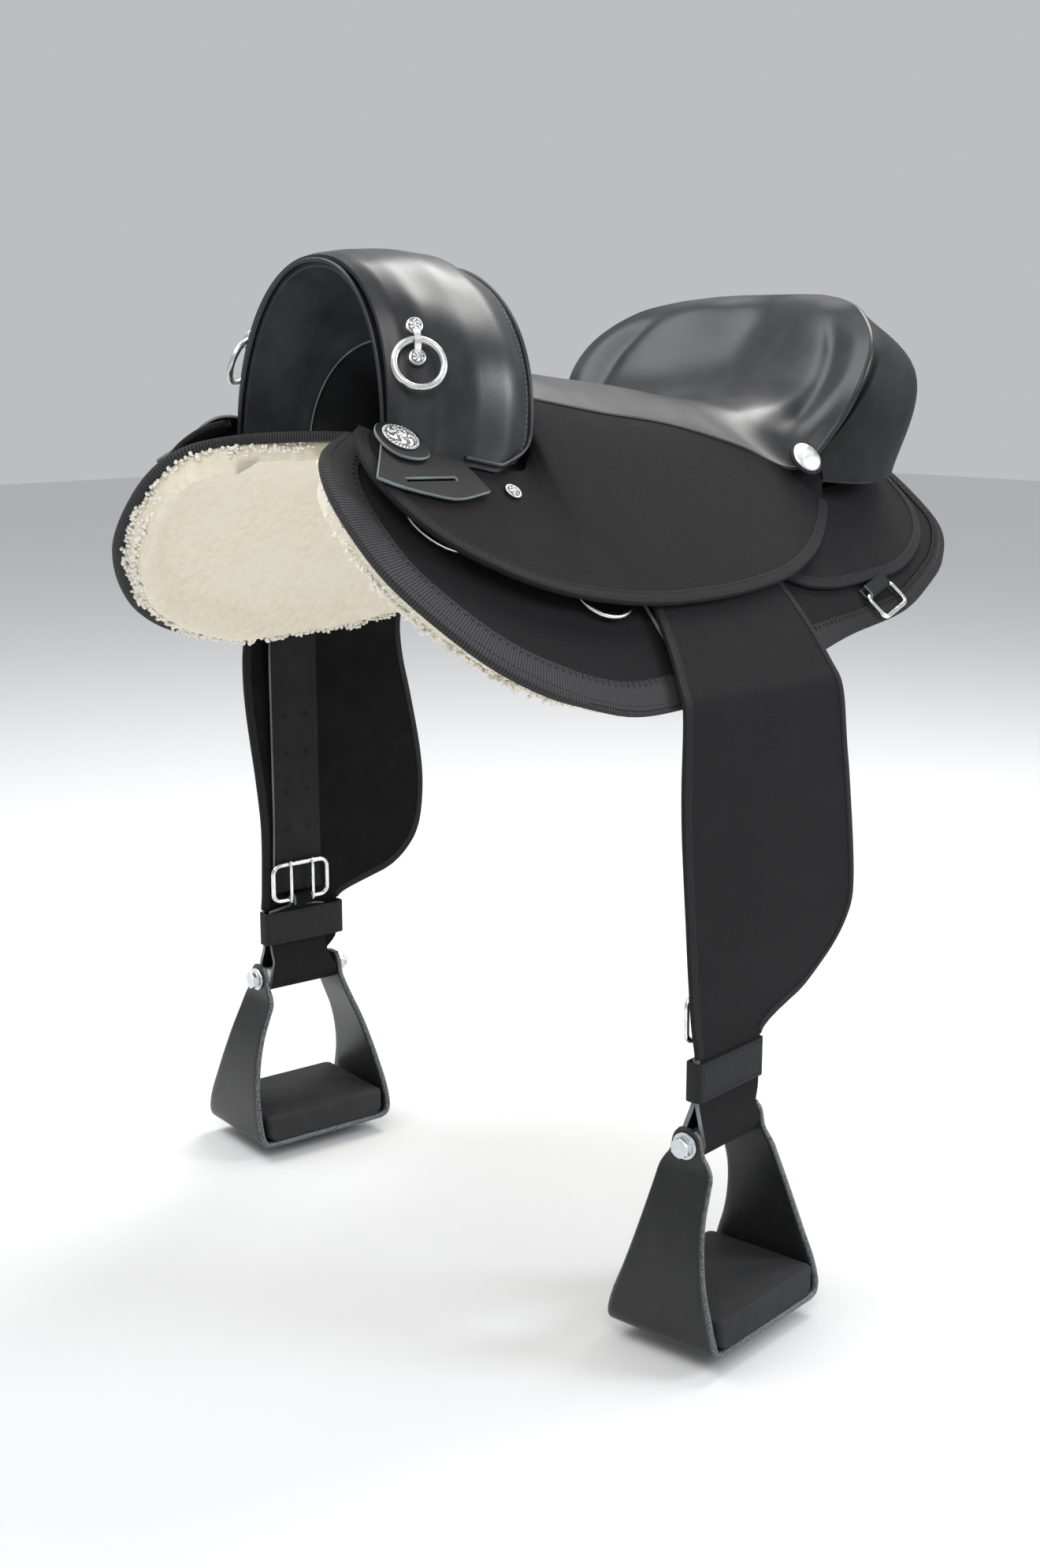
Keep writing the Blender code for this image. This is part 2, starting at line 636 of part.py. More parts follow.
def hood_grid():
    """Outer skin from the lip over the crest to the welt, and down the rear wall."""
    angles = [math.pi * k / HOOD_STEPS_AROUND for k in range(HOOD_STEPS_AROUND + 1)]
    grid = [[hood_point(k / HOOD_STEPS_ALONG, a) for a in angles] for k in range(HOOD_STEPS_ALONG + 1)]
    welt = grid[-1]
    base, top = welt[0].z, max(p.z for p in welt)
    for scale, back in REAR_WALL_STEPS:
        foot = height_over_back(welt[0].x * scale, WELT_Y + back, BAR_TOP) + 0.002
        foot = max(foot, base)
        crest = base + (top - base) * scale
        row = []
        for p in welt:
            z = foot + (p.z - base) / (top - base) * (crest - foot)
            row.append(Vector((p.x * scale, p.y + back, z)))
        grid.append(row)
    return grid


def gullet_point(w, angle, outset):
    """A point of the gullet tunnel. w runs from the lip to its rear end."""
    half_width = ramp(GULLET_HALF_WIDTH, w) + outset
    s = max(math.sin(angle), 0.0)
    front = LIP_Y + LIP_LEAN * s
    y = front + (GULLET_REAR - front) * w
    base = height_over_back(half_width, y, 0.0) + 0.0008
    x, z = arch_point(half_width, base, ramp(GULLET_TOP, w) + outset, angle)
    return Vector((x, y, z))


def build_swell():
    outer = hood_grid()
    inner = offset_grid(outer, -COVER_THICKNESS)
    for line in (0, -1):
        for j, p in enumerate(outer[line]):
            inner[line][j].y = p.y
    for row_out, row_in in zip(outer, inner):
        for j in (0, -1):
            row_in[j].z = row_out[j].z
    add_object("swell_cover", grid_solid(outer, inner), LEATHER)
    angles = [math.pi * k / HOOD_STEPS_AROUND for k in range(HOOD_STEPS_AROUND + 1)]
    steps = even(GULLET_ROWS)
    skin = [[gullet_point(w, a, 0.0) for a in angles] for w in steps]
    shell = [[gullet_point(w, a, LINING_THICKNESS) for a in angles] for w in steps]
    add_object("gullet_lining", grid_solid(shell, skin), LEATHER)
    lip = []
    for a in angles:
        p = gullet_point(0.0, a, LINING_THICKNESS + 0.001)
        lip.append(p + Vector((0, -LIP_WELT_RADIUS - 3 * GAP, 0)))
    for end in (0, -1):
        lip[end].z += 1.6 * LIP_WELT_RADIUS
    add_object("gullet_welt", tube(lip, LIP_WELT_RADIUS, 6), LEATHER)


def fork_inner(y, angle):
    """The fork's tunnel wall, just outside the gullet lining."""
    front = LIP_Y + LIP_LEAN * max(math.sin(angle), 0.0)
    w = min(max((y - front) / (GULLET_REAR - front), 0.0), 1.0)
    p = gullet_point(w, angle, LINING_THICKNESS + FORK_CLEARANCE)
    return Vector((p.x, y, p.z))


def fork_sole(outer, inner):
    """The fork's sole on the bar, from inside the jockey's edge to the tunnel wall."""
    start = abs(outer.x) - 0.012
    sole = []
    for k in range(3):
        x = start + (abs(inner.x) - start) * k / 3
        z = height_over_back(x, outer.y, BAR_TOP) + 0.0020
        sole.append(Vector((math.copysign(x, outer.x), outer.y, z)))
    return sole


def build_fork():
    """The tree's fork: a solid arch between the gullet lining and the swell cover."""
    angles = [math.pi * k / HOOD_STEPS_AROUND for k in range(HOOD_STEPS_AROUND + 1)]
    under = offset_grid(hood_grid(), -COVER_THICKNESS - FORK_CLEARANCE)
    loops = []
    for row in range(1, HOOD_STEPS_ALONG + 1):
        pull = -0.003 if row == HOOD_STEPS_ALONG else 0.0
        outer = [p + Vector((0, pull, 0)) for p in under[row]]
        inner = [fork_inner(p.y, a) for p, a in zip(outer, angles)]
        for end in (0, -1):
            outer[end].z = height_over_back(abs(outer[end].x), outer[end].y, JOCKEY_TOP) + 0.0025
            inner[end].z = height_over_back(abs(inner[end].x), inner[end].y, BAR_TOP) + 0.0020
        right = fork_sole(outer[-1], inner[-1])
        left = fork_sole(outer[0], inner[0])
        loops.append(outer + right + inner[::-1] + left[::-1])
    add_object("tree_fork", loop_solid(loops), TREE)


# Seat
def seat_grid(rows, half_cols):
    """Upper skin of the seat, from left edge to right edge."""
    centre = curve([line[0] for line in SEAT_LINES], rows)
    middle = curve([line[1] for line in SEAT_LINES], rows)
    edge = curve([line[2] for line in SEAT_LINES], rows)
    grid = []
    for c, m, e in zip(centre, middle, edge):
        across = [e, m, c, mirrored(m), mirrored(e)]
        grid.append(curve(across, 2 * half_cols + 1))
    return grid


def seat_skins():
    """Upper and lower skin of the seat panel."""
    top = seat_grid(SEAT_ROWS, SEAT_HALF_COLUMNS)
    return top, offset_grid(top, -SEAT_THICKNESS)


def build_seat():
    top, bottom = seat_skins()
    add_object("seat_panel", grid_solid(top, bottom), LEATHER)


def build_jockey(side):
    """Seat jockey: a flap from the swell's foot and the seat's edge, out over the skirt."""
    start = [Vector((x, y, height_over_back(x, y, JOCKEY_TOP - 0.0015))) for x, y in JOCKEY_TUCK]
    top_skin = seat_skins()[0]
    edge = [row[0] for row in top_skin if row[0].y < JOCKEY_SEAM_END]
    seam = [p + Vector((0.0018, -0.0002, -0.0015)) for p in edge]
    inner = curve(start + [Vector(p) for p in JOCKEY_WALL] + seam[::2], JOCKEY_ROWS)
    feet = [footprint(p) for p in inner]
    outer = curve(plan_feet(JOCKEY_OUTLINE, JOCKEY_EDGE_LIFT), JOCKEY_ROWS)
    inner_plan = [Vector((x, y, 0)) for x, y, lift in feet]

    def top(u, row):
        return JOCKEY_TOP + (feet[row][2] - JOCKEY_TOP) * (1 - u) ** 1.7

    panel = draped_panel(inner_plan, outer, even(5), top, lambda u, row: top(u, row) - JOCKEY_THICKNESS)
    add_object("jockey", panel, CORDURA, side)


def build_rear_jockey(side):
    rows = 15
    outer = curve(plan_feet(REAR_JOCKEY_OUTLINE, REAR_JOCKEY_THICKNESS), rows)
    inner = curve(REAR_JOCKEY_INNER, rows)

    def top(u, row):
        inside = 0.0126 + 0.0034 * smoothstep(inner[row].y, 0.215, 0.270)
        return inside + (0.0050 - inside) * smoothstep(u, 0.1, 0.9)

    panel = draped_panel(inner, outer, even(5), top, lambda u, row: top(u, row) - REAR_JOCKEY_THICKNESS)
    add_object("rear_jockey", panel, CORDURA, side)


def cantle_rim(rows):
    """The line under the seat's rear edge, and the way inwards from it, left side to centre."""
    top, bottom = seat_skins()
    last = len(top) - 1
    chain = [(i, 0, i, 1) for i in range(CANTLE_FIRST_ROW, last + 1)]
    chain += [(last, j, last - 1, j) for j in range(1, len(top[0]) // 2 + 1)]
    rim, inward = [], []
    for i, j, k, m in chain:
        edge, under = top[i][j], bottom[i][j]
        rim.append(under + (under - edge).normalized() * CANTLE_RIM_GAP)
        inward.append((bottom[k][m] - under).normalized())
    return curve(rim, rows), curve(inward, rows)


def build_cantle():
    """Cantle back: a shell that bulges from the seat's rear edge down to the rear jockeys."""
    rows = 14
    rim, inward = cantle_rim(rows)
    bulge = curve([line[0] for line in CANTLE_LINES], rows)
    base = curve([line[1] for line in CANTLE_LINES], rows)
    half = [curve([r, b, f], 7) for r, b, f in zip(rim, bulge, base)]
    grid = half + [[mirrored(p) for p in line] for line in reversed(half[:-1])]
    inside = offset_grid(grid, -CANTLE_BACK_THICKNESS)
    for row, (start, way) in enumerate(zip(rim, inward)):
        corner = start + way * CANTLE_BACK_THICKNESS
        inside[row][0] = corner
        inside[-1 - row][0] = mirrored(corner)
    add_object("cantle_back", grid_solid(grid, inside), CORDURA)


# Hanging leathers
def turned(point, fraction):
    """Turn a point about the upright line of the leathers."""
    a = math.radians(TWIST_DEG) * fraction
    dx, dy = point.x - LEATHER_X, point.y - LEATHER_Y
    x = LEATHER_X + dx * math.cos(a) - dy * math.sin(a)
    y = LEATHER_Y + dx * math.sin(a) + dy * math.cos(a)
    return Vector((x, y, point.z))


def twisted(bm, fraction=None):
    """Turn a shape fully, or by the leathers' own twist at each height."""
    for vert in bm.verts:
        share = fraction
        if share is None:
            share = smoothstep(-vert.co.z, -TWIST_TOP, -TWIST_END)
        vert.co = turned(vert.co, share)
    return bm


def hanging_path(lift, drop):
    slope = [on_back(x, LEATHER_Y, lift) for x in SLOPE_FEET]
    return [Vector((p.x, 0, p.z)) for p in slope] + [Vector((x, 0, z)) for x, z in drop]


def settle(grid):
    """Follow the back's crown along y on the sloping part."""
    for line in grid[:len(SLOPE_FEET) + 2]:
        for p in line:
            share = 1.0 - smoothstep(-p.z, 0.13, 0.21)
            p.z += (back_height(0.2, p.y) - back_height(0.2, LEATHER_Y)) * share
    return grid


def build_fender(side, pivot):
    """Fender, its neck round the bolt sleeve, and the billet that holds the buckle."""
    path = hanging_path(FENDER_LIFT, FENDER_DROP)
    edges = []
    for p in path:
        front = ramp([(z, a) for z, a, b in FENDER_EDGES], -p.z)
        rear = ramp([(z, b) for z, a, b in FENDER_EDGES], -p.z)
        edges.append((front, rear))
    loop = arc((LEATHER_X, BOLT_Z), LOOP_RADIUS, 5, -185, 9)
    edges += [edges[-1]] * len(loop)
    billet = [Vector((0.2725, 0, -0.512)), Vector((0.2780, 0, -0.4955)), Vector((0.2780, 0, -0.4610))]
    edges += [BILLET_EDGES] * len(billet)
    tab = [Vector((0.2772, 0, -0.4575)), Vector((0.2752, 0, -0.4535))]
    bar = (BUCKLE_CENTRE[0], BUCKLE_CENTRE[1] - BUCKLE_HEIGHT / 2)
    tab += arc(bar, BUCKLE_WIRE + GAP + FENDER_THICKNESS / 2, 0, 180, 6)
    tab += [Vector((tab[-1].x, 0, -0.4540))]
    edges += [(LEATHER_Y - TAB_HALF_WIDTH, LEATHER_Y + TAB_HALF_WIDTH)] * len(tab)
    top, bottom = ribbon(path + loop + billet + tab, edges, FENDER_THICKNESS, FENDER_COLUMNS)
    add_object("fender", twisted(grid_solid(settle(top), settle(bottom))), CORDURA, side, pivot)


def build_stirrup_leather(side, pivot):
    path = hanging_path(LEATHER_LIFT, LEATHER_DROP)
    top, bottom = ribbon(path, [LEATHER_EDGES] * len(path), LEATHER_THICKNESS, LEATHER_COLUMNS)
    bm = grid_solid(settle(top), settle(bottom))
    leather = add_object("stirrup_leather", twisted(bm), LEATHER, side, pivot)
    holes = bmesh.new()
    for k in range(STRAP_HOLE_COUNT):
        z = STRAP_HOLE_FIRST_Z - k * STRAP_HOLE_PITCH
        for y in (LEATHER_Y - TONGUE_OFFSET, LEATHER_Y + TONGUE_OFFSET):
            place = frame_matrix(Vector((0.265, y, z)), Vector((0, 1, 0)), Vector((1, 0, 0)))
            add_prism(holes, place, ring_points(STRAP_HOLE_RADIUS, 6), 0.0, 0.020)
    combine(leather, twisted(holes), "DIFFERENCE", side, pivot)


def ring_points(radius, sides, start=0.0):
    points = []
    for k in range(sides):
        a = start + 2 * math.pi * k / sides
        points.append((radius * math.cos(a), radius * math.sin(a)))
    return points


def add_prism(bm, place, outline, low, high):
    """Add a prism to a bmesh: a flat outline between two heights of a place matrix."""
    lower = [bm.verts.new(place @ Vector((x, y, low))) for x, y in outline]
    upper = [bm.verts.new(place @ Vector((x, y, high))) for x, y in outline]
    for k in range(len(outline)):
        n = (k + 1) % len(outline)
        bm.faces.new((lower[k], lower[n], upper[n], upper[k]))
    bm.faces.new(lower[::-1])
    bm.faces.new(upper)
    return bm


def rounded_rectangle(width, height, radius, steps):
    """Outline points of a rectangle with round corners, about its centre."""
    points = []
    for cx, cy, start in ((1, 1, 0), (-1, 1, 90), (-1, -1, 180), (1, -1, 270)):
        for k in range(steps + 1):
            a = math.radians(start + 90 * k / steps)
            x = cx * (width / 2 - radius) + radius * math.cos(a)
            y = cy * (height / 2 - radius) + radius * math.sin(a)
            points.append((x, y))
    return points


def build_buckle(side, pivot):
    """Buckle frame, hobble strap and bolt sleeve, fixed to the leathers."""
    x, z = BUCKLE_CENTRE
    turn = BUCKLE_TURN_DEG / TWIST_DEG
    outline = rounded_rectangle(BUCKLE_WIDTH, BUCKLE_HEIGHT, 0.008, 2)
    frame = [(x, LEATHER_Y + a, z + b) for a, b in outline]
    add_object("buckle_frame", twisted(tube(frame, BUCKLE_WIRE, 6, closed=True), turn), NICKEL, side, pivot)
    x0, x1, y0, y1 = HOBBLE_INSIDE
    middle = Vector(((x0 + x1) / 2, (y0 + y1) / 2, 0))
    inside = rounded_rectangle(x1 - x0, y1 - y0, 0.0015, 2)
    t = HOBBLE_THICKNESS
    outside = rounded_rectangle(x1 - x0 + 2 * t, y1 - y0 + 2 * t, 0.0015 + t, 2)
    loops = []
    for (a, b), (c, d) in zip(inside, outside):
        near, far = middle + Vector((a, b, 0)), middle + Vector((c, d, 0))
        low, high = Vector((0, 0, HOBBLE_BOTTOM)), Vector((0, 0, HOBBLE_TOP))
        loops.append([near + low, far + low, far + high, near + high])
    add_object("hobble_strap", twisted(loop_solid(loops, closed=True), 1.0), LEATHER, side, pivot)
    half = SLEEVE_LENGTH / 2
    profile = [(SLEEVE_BORE, -half), (SLEEVE_RADIUS, -half), (SLEEVE_RADIUS, half), (SLEEVE_BORE, half)]
    add_object("bolt_sleeve", lathe(profile, bolt_place(), 16), STEEL, side, pivot)


def bolt_place():
    """Place matrix on the bolt: its Z axis runs along the bolt, to the rear."""
    a = math.radians(TWIST_DEG)
    axis = Vector((-math.sin(a), math.cos(a), 0))
    return frame_matrix(Vector((LEATHER_X, LEATHER_Y, BOLT_Z)), Vector((0, 0, 1)), axis)


def build_tongues(side, fender_pivot):
    """Two tongues that hook round the buckle's lower bar and rest on its upper bar."""
    x, z = BUCKLE_CENTRE
    low = z - BUCKLE_HEIGHT / 2
    turn = BUCKLE_TURN_DEG / TWIST_DEG
    a = math.radians(BUCKLE_TURN_DEG)
    for end, sign in (("front", -1), ("rear", 1)):
        centre = turned(Vector((x, LEATHER_Y + sign * TONGUE_OFFSET, low)), turn)
        pivot = add_pivot("tongue_pivot_" + end, side, centre, (-math.sin(a), math.cos(a), 0))
        path = arc((x, low), BUCKLE_WIRE + 0.0004 + TONGUE_THICKNESS / 2, 110, -180, 7)
        rest = x - BUCKLE_WIRE - GAP - TONGUE_THICKNESS / 2
        path += [Vector((rest, 0, low + 0.006)), Vector((rest, 0, z + BUCKLE_HEIGHT / 2 + 0.004))]
        y = LEATHER_Y + sign * TONGUE_OFFSET
        edges = [(y - TONGUE_WIDTH / 2, y + TONGUE_WIDTH / 2)] * len(path)
        top, bottom = ribbon(path, edges, TONGUE_THICKNESS, 1)
        add_object("buckle_tongue_" + end, twisted(grid_solid(top, bottom), turn), NICKEL, side, pivot)


# Stirrup
def build_stirrup(side, pivot):
    """Bell stirrup: one bent strap with drilled ears, a rubber tread and a bolt."""
    front = [(-y, z, w) for y, z, w in STIRRUP_SIDE]
    path = front + [(y, z, w) for y, z, w in reversed(STIRRUP_SIDE)]
    base = Vector((LEATHER_X, LEATHER_Y, TREAD_Z))
    loops = []
    edge = 0.0012
    t = PLATE_THICKNESS / 2
    for i, (y, z, w) in enumerate(path):
        a, b = path[max(i - 1, 0)], path[min(i + 1, len(path) - 1)]
        out = Vector((0, -(b[1] - a[1]), b[0] - a[0])).normalized()
        mid = base + Vector((0, y, z))
        ring = []
        for across, deep in (
            (w - edge, t), (w, t - edge), (w, edge - t), (w - edge, -t),
            (edge - w, -t), (-w, edge - t), (-w, t - edge), (edge - w, t),
        ):
            ring.append(mid + Vector((across, 0, 0)) + out * deep)
        loops.append(ring)
    frame = add_object("stirrup_frame", twisted(loop_solid(loops), 1.0), STIRRUP_BLACK, side, pivot)
    hole = add_prism(bmesh.new(), bolt_place(), ring_points(SLEEVE_BORE, 16), -0.060, 0.060)
    combine(frame, hole, "DIFFERENCE", side, pivot)
    outline = rounded_rectangle(2 * PAD_HALF_DEPTH, 2 * PAD_HALF_LENGTH, 0.006, 3)
    foot = rounded_rectangle(2 * PAD_HALF_DEPTH, 2 * PAD_HALF_LENGTH - 2 * PAD_CHAMFER, 0.005, 3)
    top = rounded_rectangle(2 * PAD_HALF_DEPTH - 0.004, 2 * PAD_HALF_LENGTH - 0.004, 0.005, 3)
    low = PLATE_THICKNESS + GAP
    layers = [(low, foot), (low + PAD_CHAMFER, outline), (low + PAD_THICKNESS - 0.002, outline)]
    layers.append((low + PAD_THICKNESS, top))
    loops = [[base + Vector((x, y, z)) for x, y in shape] for z, shape in layers]
    add_object("tread_pad", twisted(loop_solid(loops), 1.0), RUBBER, side, pivot)
    ear = EAR_OFFSET + PLATE_THICKNESS / 2 + GAP
    round_shaft = ring_points(BOLT_RADIUS, 12)
    washer = ring_points(WASHER_RADIUS, 12)
    hexagon = hexagon_points()
    stations = [
        (-ear - 0.0085, hexagon), (-ear - 0.0020, hexagon), (-ear - 0.0020, washer), (-ear, washer),
        (-ear, round_shaft), (ear, round_shaft), (ear, hexagon), (ear + 0.0070, hexagon),
        (ear + 0.0070, round_shaft), (ear + 0.0110, round_shaft),
    ]
    place = bolt_place()
    loops = [[place @ Vector((x, y, z)) for x, y in shape] for z, shape in stations]
    add_object("stirrup_bolt", loop_solid(loops), NICKEL, side, pivot)


def hexagon_points():
    """Twelve points on a hexagon: its corners and the middles of its sides."""
    points = []
    for k in range(12):
        radius = HEX_RADIUS if k % 2 == 0 else HEX_RADIUS * math.cos(math.pi / 6)
        a = 2 * math.pi * k / 12
        points.append((radius * math.cos(a), radius * math.sin(a)))
    return points


# Rings, dees, conchos and keepers
def surface_frame(x, y, lift, heading):
    """Place matrix on the back: X along the heading down the slope, Z outwards."""
    normal = back_normal(x, y)
    way = Vector((heading[0], heading[1], 0))
    return frame_matrix(on_back(x, y, lift), way - normal * way.dot(normal), normal)


def build_swell_ring(side):
    """A ring that hangs on a two-screw clip on the swell's front corner."""
    u, angle = RING_SPOT
    foot = hood_point(u, angle)
    facing = (hood_point(u + 0.01, angle) - foot).cross(hood_point(u, angle + 0.01) - foot).normalized()
    if facing.x < 0:
        facing = -facing
    top = foot + facing * RING_STAND_OFF
    across = Vector((0, 0, 1)).cross(facing).normalized()
    down = across.cross(facing).normalized()
    if down.z > 0:
        down = -down
    pivot = add_pivot("ring_pivot", side, top, across)
    centre = top + down * RING_RADIUS
    circle = []
    for k in range(16):
        a = 2 * math.pi * k / 16
        circle.append(centre + (across * math.cos(a) + down * math.sin(a)) * RING_RADIUS)
    add_object("swell_ring", tube(circle, RING_WIRE, 6, closed=True), NICKEL, side, pivot)
    path, sizes = [], []
    for along, height, size in CLIP_STATIONS:
        path.append(foot - down * along + facing * height)
        sizes.append(size)
    add_object("ring_clip", tube(path, sizes, 8), NICKEL, side)


def dee_outline(width, reach, steps):
    """A dee lying in the XY plane: the bar on the Y axis, the bow towards +X."""
    points = [(0.0, -width / 2), (0.0, 0.0), (0.0, width / 2)]
    for k in range(1, steps):
        a = math.radians(90 - 180 * k / steps)
        points.append((0.003 + (reach - 0.003) * math.cos(a) ** 0.7, width / 2 * math.sin(a)))
    return points


def build_dee(name, spot, heading, outline, tab_width, tab_length, side):
    """A wire dee and the leather tab that folds round its bar."""
    place = surface_frame(spot[0], spot[1], DEE_LIFT, heading)
    axis = place.to_3x3() @ Vector((0, 1, 0))
    pivot = add_pivot(name + "_pivot", side, place.translation, axis)
    path = [place @ Vector((x, y, 0)) for x, y in outline]
    add_object(name, tube(path, DEE_WIRE, 6, closed=True), NICKEL, side, pivot)
    radius = DEE_WIRE + GAP + TAB_THICKNESS / 2
    fold = [Vector((-tab_length, 0, -radius)), Vector((-0.003, 0, -radius))]
    fold += arc((0, 0), radius, -90, 90, 7)
    fold += [Vector((-0.003, 0, radius)), Vector((-tab_length, 0, radius))]
    top, bottom = ribbon(fold, [(-tab_width / 2, tab_width / 2)] * len(fold), TAB_THICKNESS, 1)
    top = [[place @ p for p in line] for line in top]
    bottom = [[place @ p for p in line] for line in bottom]
    add_object(name + "_tab", grid_solid(top, bottom), LEATHER, side)


def build_keeper(side):
    """Leather keeper with a slot, held under the front concho."""
    rows = 6
    plate = draped_panel(
        curve(KEEPER_INNER, rows), curve(KEEPER_OUTER, rows), even(4),
        lambda u, row: KEEPER_TOP, lambda u, row: KEEPER_TOP - KEEPER_THICKNESS,
    )
    keeper = add_object("latigo_keeper", plate, LEATHER, side)
    (x, y), length, width = KEEPER_SLOT
    place = surface_frame(x, y, KEEPER_TOP, (1, 0))
    slot = add_prism(bmesh.new(), place, rounded_rectangle(width, length, width * 0.45, 2), -0.008, 0.006)
    combine(keeper, slot, "DIFFERENCE", side)
    x, y = FRONT_CONCHO
    seat = surface_frame(x, y, KEEPER_TOP + GAP, (1, 0))
    add_object("front_concho", dome(CONCHO_RADIUS, 0.0032, seat, 16, 3, 0.0028), NICKEL, side)


def build_hardware(side):
    build_swell_ring(side)
    build_keeper(side)
    build_dee("front_rigging_dee", *FRONT_DEE, dee_outline(0.060, 0.034, 8), 0.036, 0.018, side)
    build_dee("rear_rigging_dee", *REAR_DEE, dee_outline(0.052, 0.034, 8), 0.030, 0.020, side)
    frame = [(x + 0.0120, y) for x, y in rounded_rectangle(0.024, 0.048, 0.006, 2)]
    build_dee("rear_skirt_dee", *SKIRT_DEE, frame, 0.028, 0.009, side)
    x, y = SEAT_SCREW
    screw = surface_frame(x, y, JOCKEY_TOP + GAP, (1, 0))
    add_object("seat_screw", dome(SCREW_RADIUS, 0.0020, screw, 12, 2), NICKEL, side)
    normal = Vector(REAR_CONCHO_FACING).normalized()
    place = frame_matrix(Vector(REAR_CONCHO) + normal * REAR_CONCHO_LIFT, normal.orthogonal(), normal)
    add_object("rear_concho", dome(REAR_CONCHO_RADIUS, 0.0030, place, 16), NICKEL, side)


def build_hanging(side):
    tilt = math.radians(SWING_TILT_DEG)
    spot = on_back(SWING_FOOT[0], SWING_FOOT[1], FENDER_LIFT)
    fender_pivot = add_pivot("fender_pivot", side, spot, (math.cos(tilt), 0, math.sin(tilt)))
    build_fender(side, fender_pivot)
    build_stirrup_leather(side, fender_pivot)
    build_buckle(side, fender_pivot)
    build_tongues(side, fender_pivot)
    a = math.radians(TWIST_DEG)
    bolt = Vector((LEATHER_X, LEATHER_Y, BOLT_Z))
    stirrup_pivot = add_pivot("stirrup_pivot", side, bolt, (-math.sin(a), math.cos(a), 0))
    build_stirrup(side, stirrup_pivot)


def main():
    clear_scene()
    build_swell()
    build_fork()
    build_seat()
    build_cantle()
    for side in (1, -1):
        build_skirt(side)
        build_bar(side)
        build_jockey(side)
        build_rear_jockey(side)
        build_hanging(side)
        build_hardware(side)


main()
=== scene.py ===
# Looks for the gaited saddle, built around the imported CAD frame. Metres, +Z up, front towards -Y.
import json
import math
import random

import bpy
from mathutils import Matrix, Vector, geometry, noise
from mathutils.bvhtree import BVHTree


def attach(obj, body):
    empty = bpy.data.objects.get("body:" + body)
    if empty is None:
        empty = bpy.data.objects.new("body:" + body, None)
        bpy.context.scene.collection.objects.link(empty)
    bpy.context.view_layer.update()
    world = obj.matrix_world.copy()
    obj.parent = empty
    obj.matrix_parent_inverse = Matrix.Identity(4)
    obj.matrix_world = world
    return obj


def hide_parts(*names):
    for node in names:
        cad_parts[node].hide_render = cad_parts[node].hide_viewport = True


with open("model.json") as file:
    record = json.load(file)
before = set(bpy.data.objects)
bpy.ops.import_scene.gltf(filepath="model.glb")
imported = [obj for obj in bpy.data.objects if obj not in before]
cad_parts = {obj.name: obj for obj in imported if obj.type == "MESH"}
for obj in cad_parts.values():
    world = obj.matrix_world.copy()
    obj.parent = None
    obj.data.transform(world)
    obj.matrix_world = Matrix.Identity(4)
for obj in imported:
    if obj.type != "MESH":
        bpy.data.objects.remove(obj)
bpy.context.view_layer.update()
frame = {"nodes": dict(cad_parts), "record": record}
SEED = 7
RANDOM = random.Random(SEED)
noise.seed_set(SEED)
SHORTEST = 1e-9

# Layers of the saddle over the horse's back, as in the CAD
SKIRT_THICKNESS = 0.006
BAR_TOP = 0.0088
REAR_JOCKEY_THICKNESS = 0.0035
JOCKEY_TOP = 0.0185
JOCKEY_THICKNESS = 0.005
JOCKEY_EDGE_LIFT = 0.015
SKIRT_FRONT_CENTRE = -0.187
SKIRT_REAR_CENTRE = 0.372
CENTRE_GAP = 0.0003
CHANNEL_HALF = 0.028
SKIRT_TAPE = 0.0255
SKIRT_TAPE_REAR = 0.013
SKIRT_TAPE_UNDER = 0.0125
TAPE_FADE = (0.03, 0.19)
TAPE_COVER = 0.0013
TAPE_COVER_AT_LEATHER = 0.0001
TAPE_FLAT_ZONE = (0.13, 0.16)
WEAVE_PITCH = 0.0011
FLEECE_INSET = 0.0062
PILE_EDGE_RADIUS = 0.006
TUFT_COLUMNS = ((1, 6, 14), (3, 0, 11))
TUFTS_AT_END = 2
FLEECE_END_ROWS = 9
FLEECE_ROW_SPACING = 0.0046
FLEECE_TOP_GAP = 0.0009
FLEECE_ROOT = -0.0085
FLEECE_PILE = 0.013
SKIRT_CENTRE = [(CENTRE_GAP, SKIRT_FRONT_CENTRE), (CENTRE_GAP, 0.05), (CENTRE_GAP, SKIRT_REAR_CENTRE)]
SKIRT_OUTLINE = [
    (0.055, -0.241), (0.096, -0.287), (0.134, -0.301), (0.187, -0.292), (0.239, -0.242),
    (0.268, -0.153), (0.27, -0.07), (0.2675, 0.01), (0.256, 0.08), (0.244, 0.15),
    (0.229, 0.25), (0.209, 0.313), (0.186, 0.365), (0.155, 0.402), (0.118, 0.398), (0.07, 0.38),
]
REAR_JOCKEY_OUTLINE = [
    (0.208, 0.105), (0.216, 0.13), (0.218, 0.165), (0.214, 0.213), (0.206, 0.268), (0.19, 0.315),
    (0.168, 0.353), (0.143, 0.371), (0.112, 0.368), (0.06, 0.352),
]
REAR_JOCKEY_INNER = [
    (0.156, 0.108), (0.146, 0.18), (0.141, 0.23), (0.125, 0.29), (0.07, 0.318), (0.0006, 0.326),
]
JOCKEY_OUTLINE = [
    (0.085, -0.243), (0.093, -0.255), (0.106, -0.264), (0.121, -0.27), (0.137, -0.27),
    (0.16, -0.26), (0.181, -0.24), (0.201, -0.206), (0.215, -0.171), (0.224, -0.13),
    (0.23, -0.076), (0.231, -0.014), (0.228, 0.047), (0.221, 0.1), (0.204, 0.152),
    (0.18, 0.194), (0.166, 0.211),
]
JOCKEY_TUCK = [
    (0.082, -0.245), (0.088, -0.24), (0.096, -0.235), (0.106, -0.224),
    (0.117, -0.192), (0.126, -0.165), (0.1315, -0.14), (0.1315, -0.119),
]
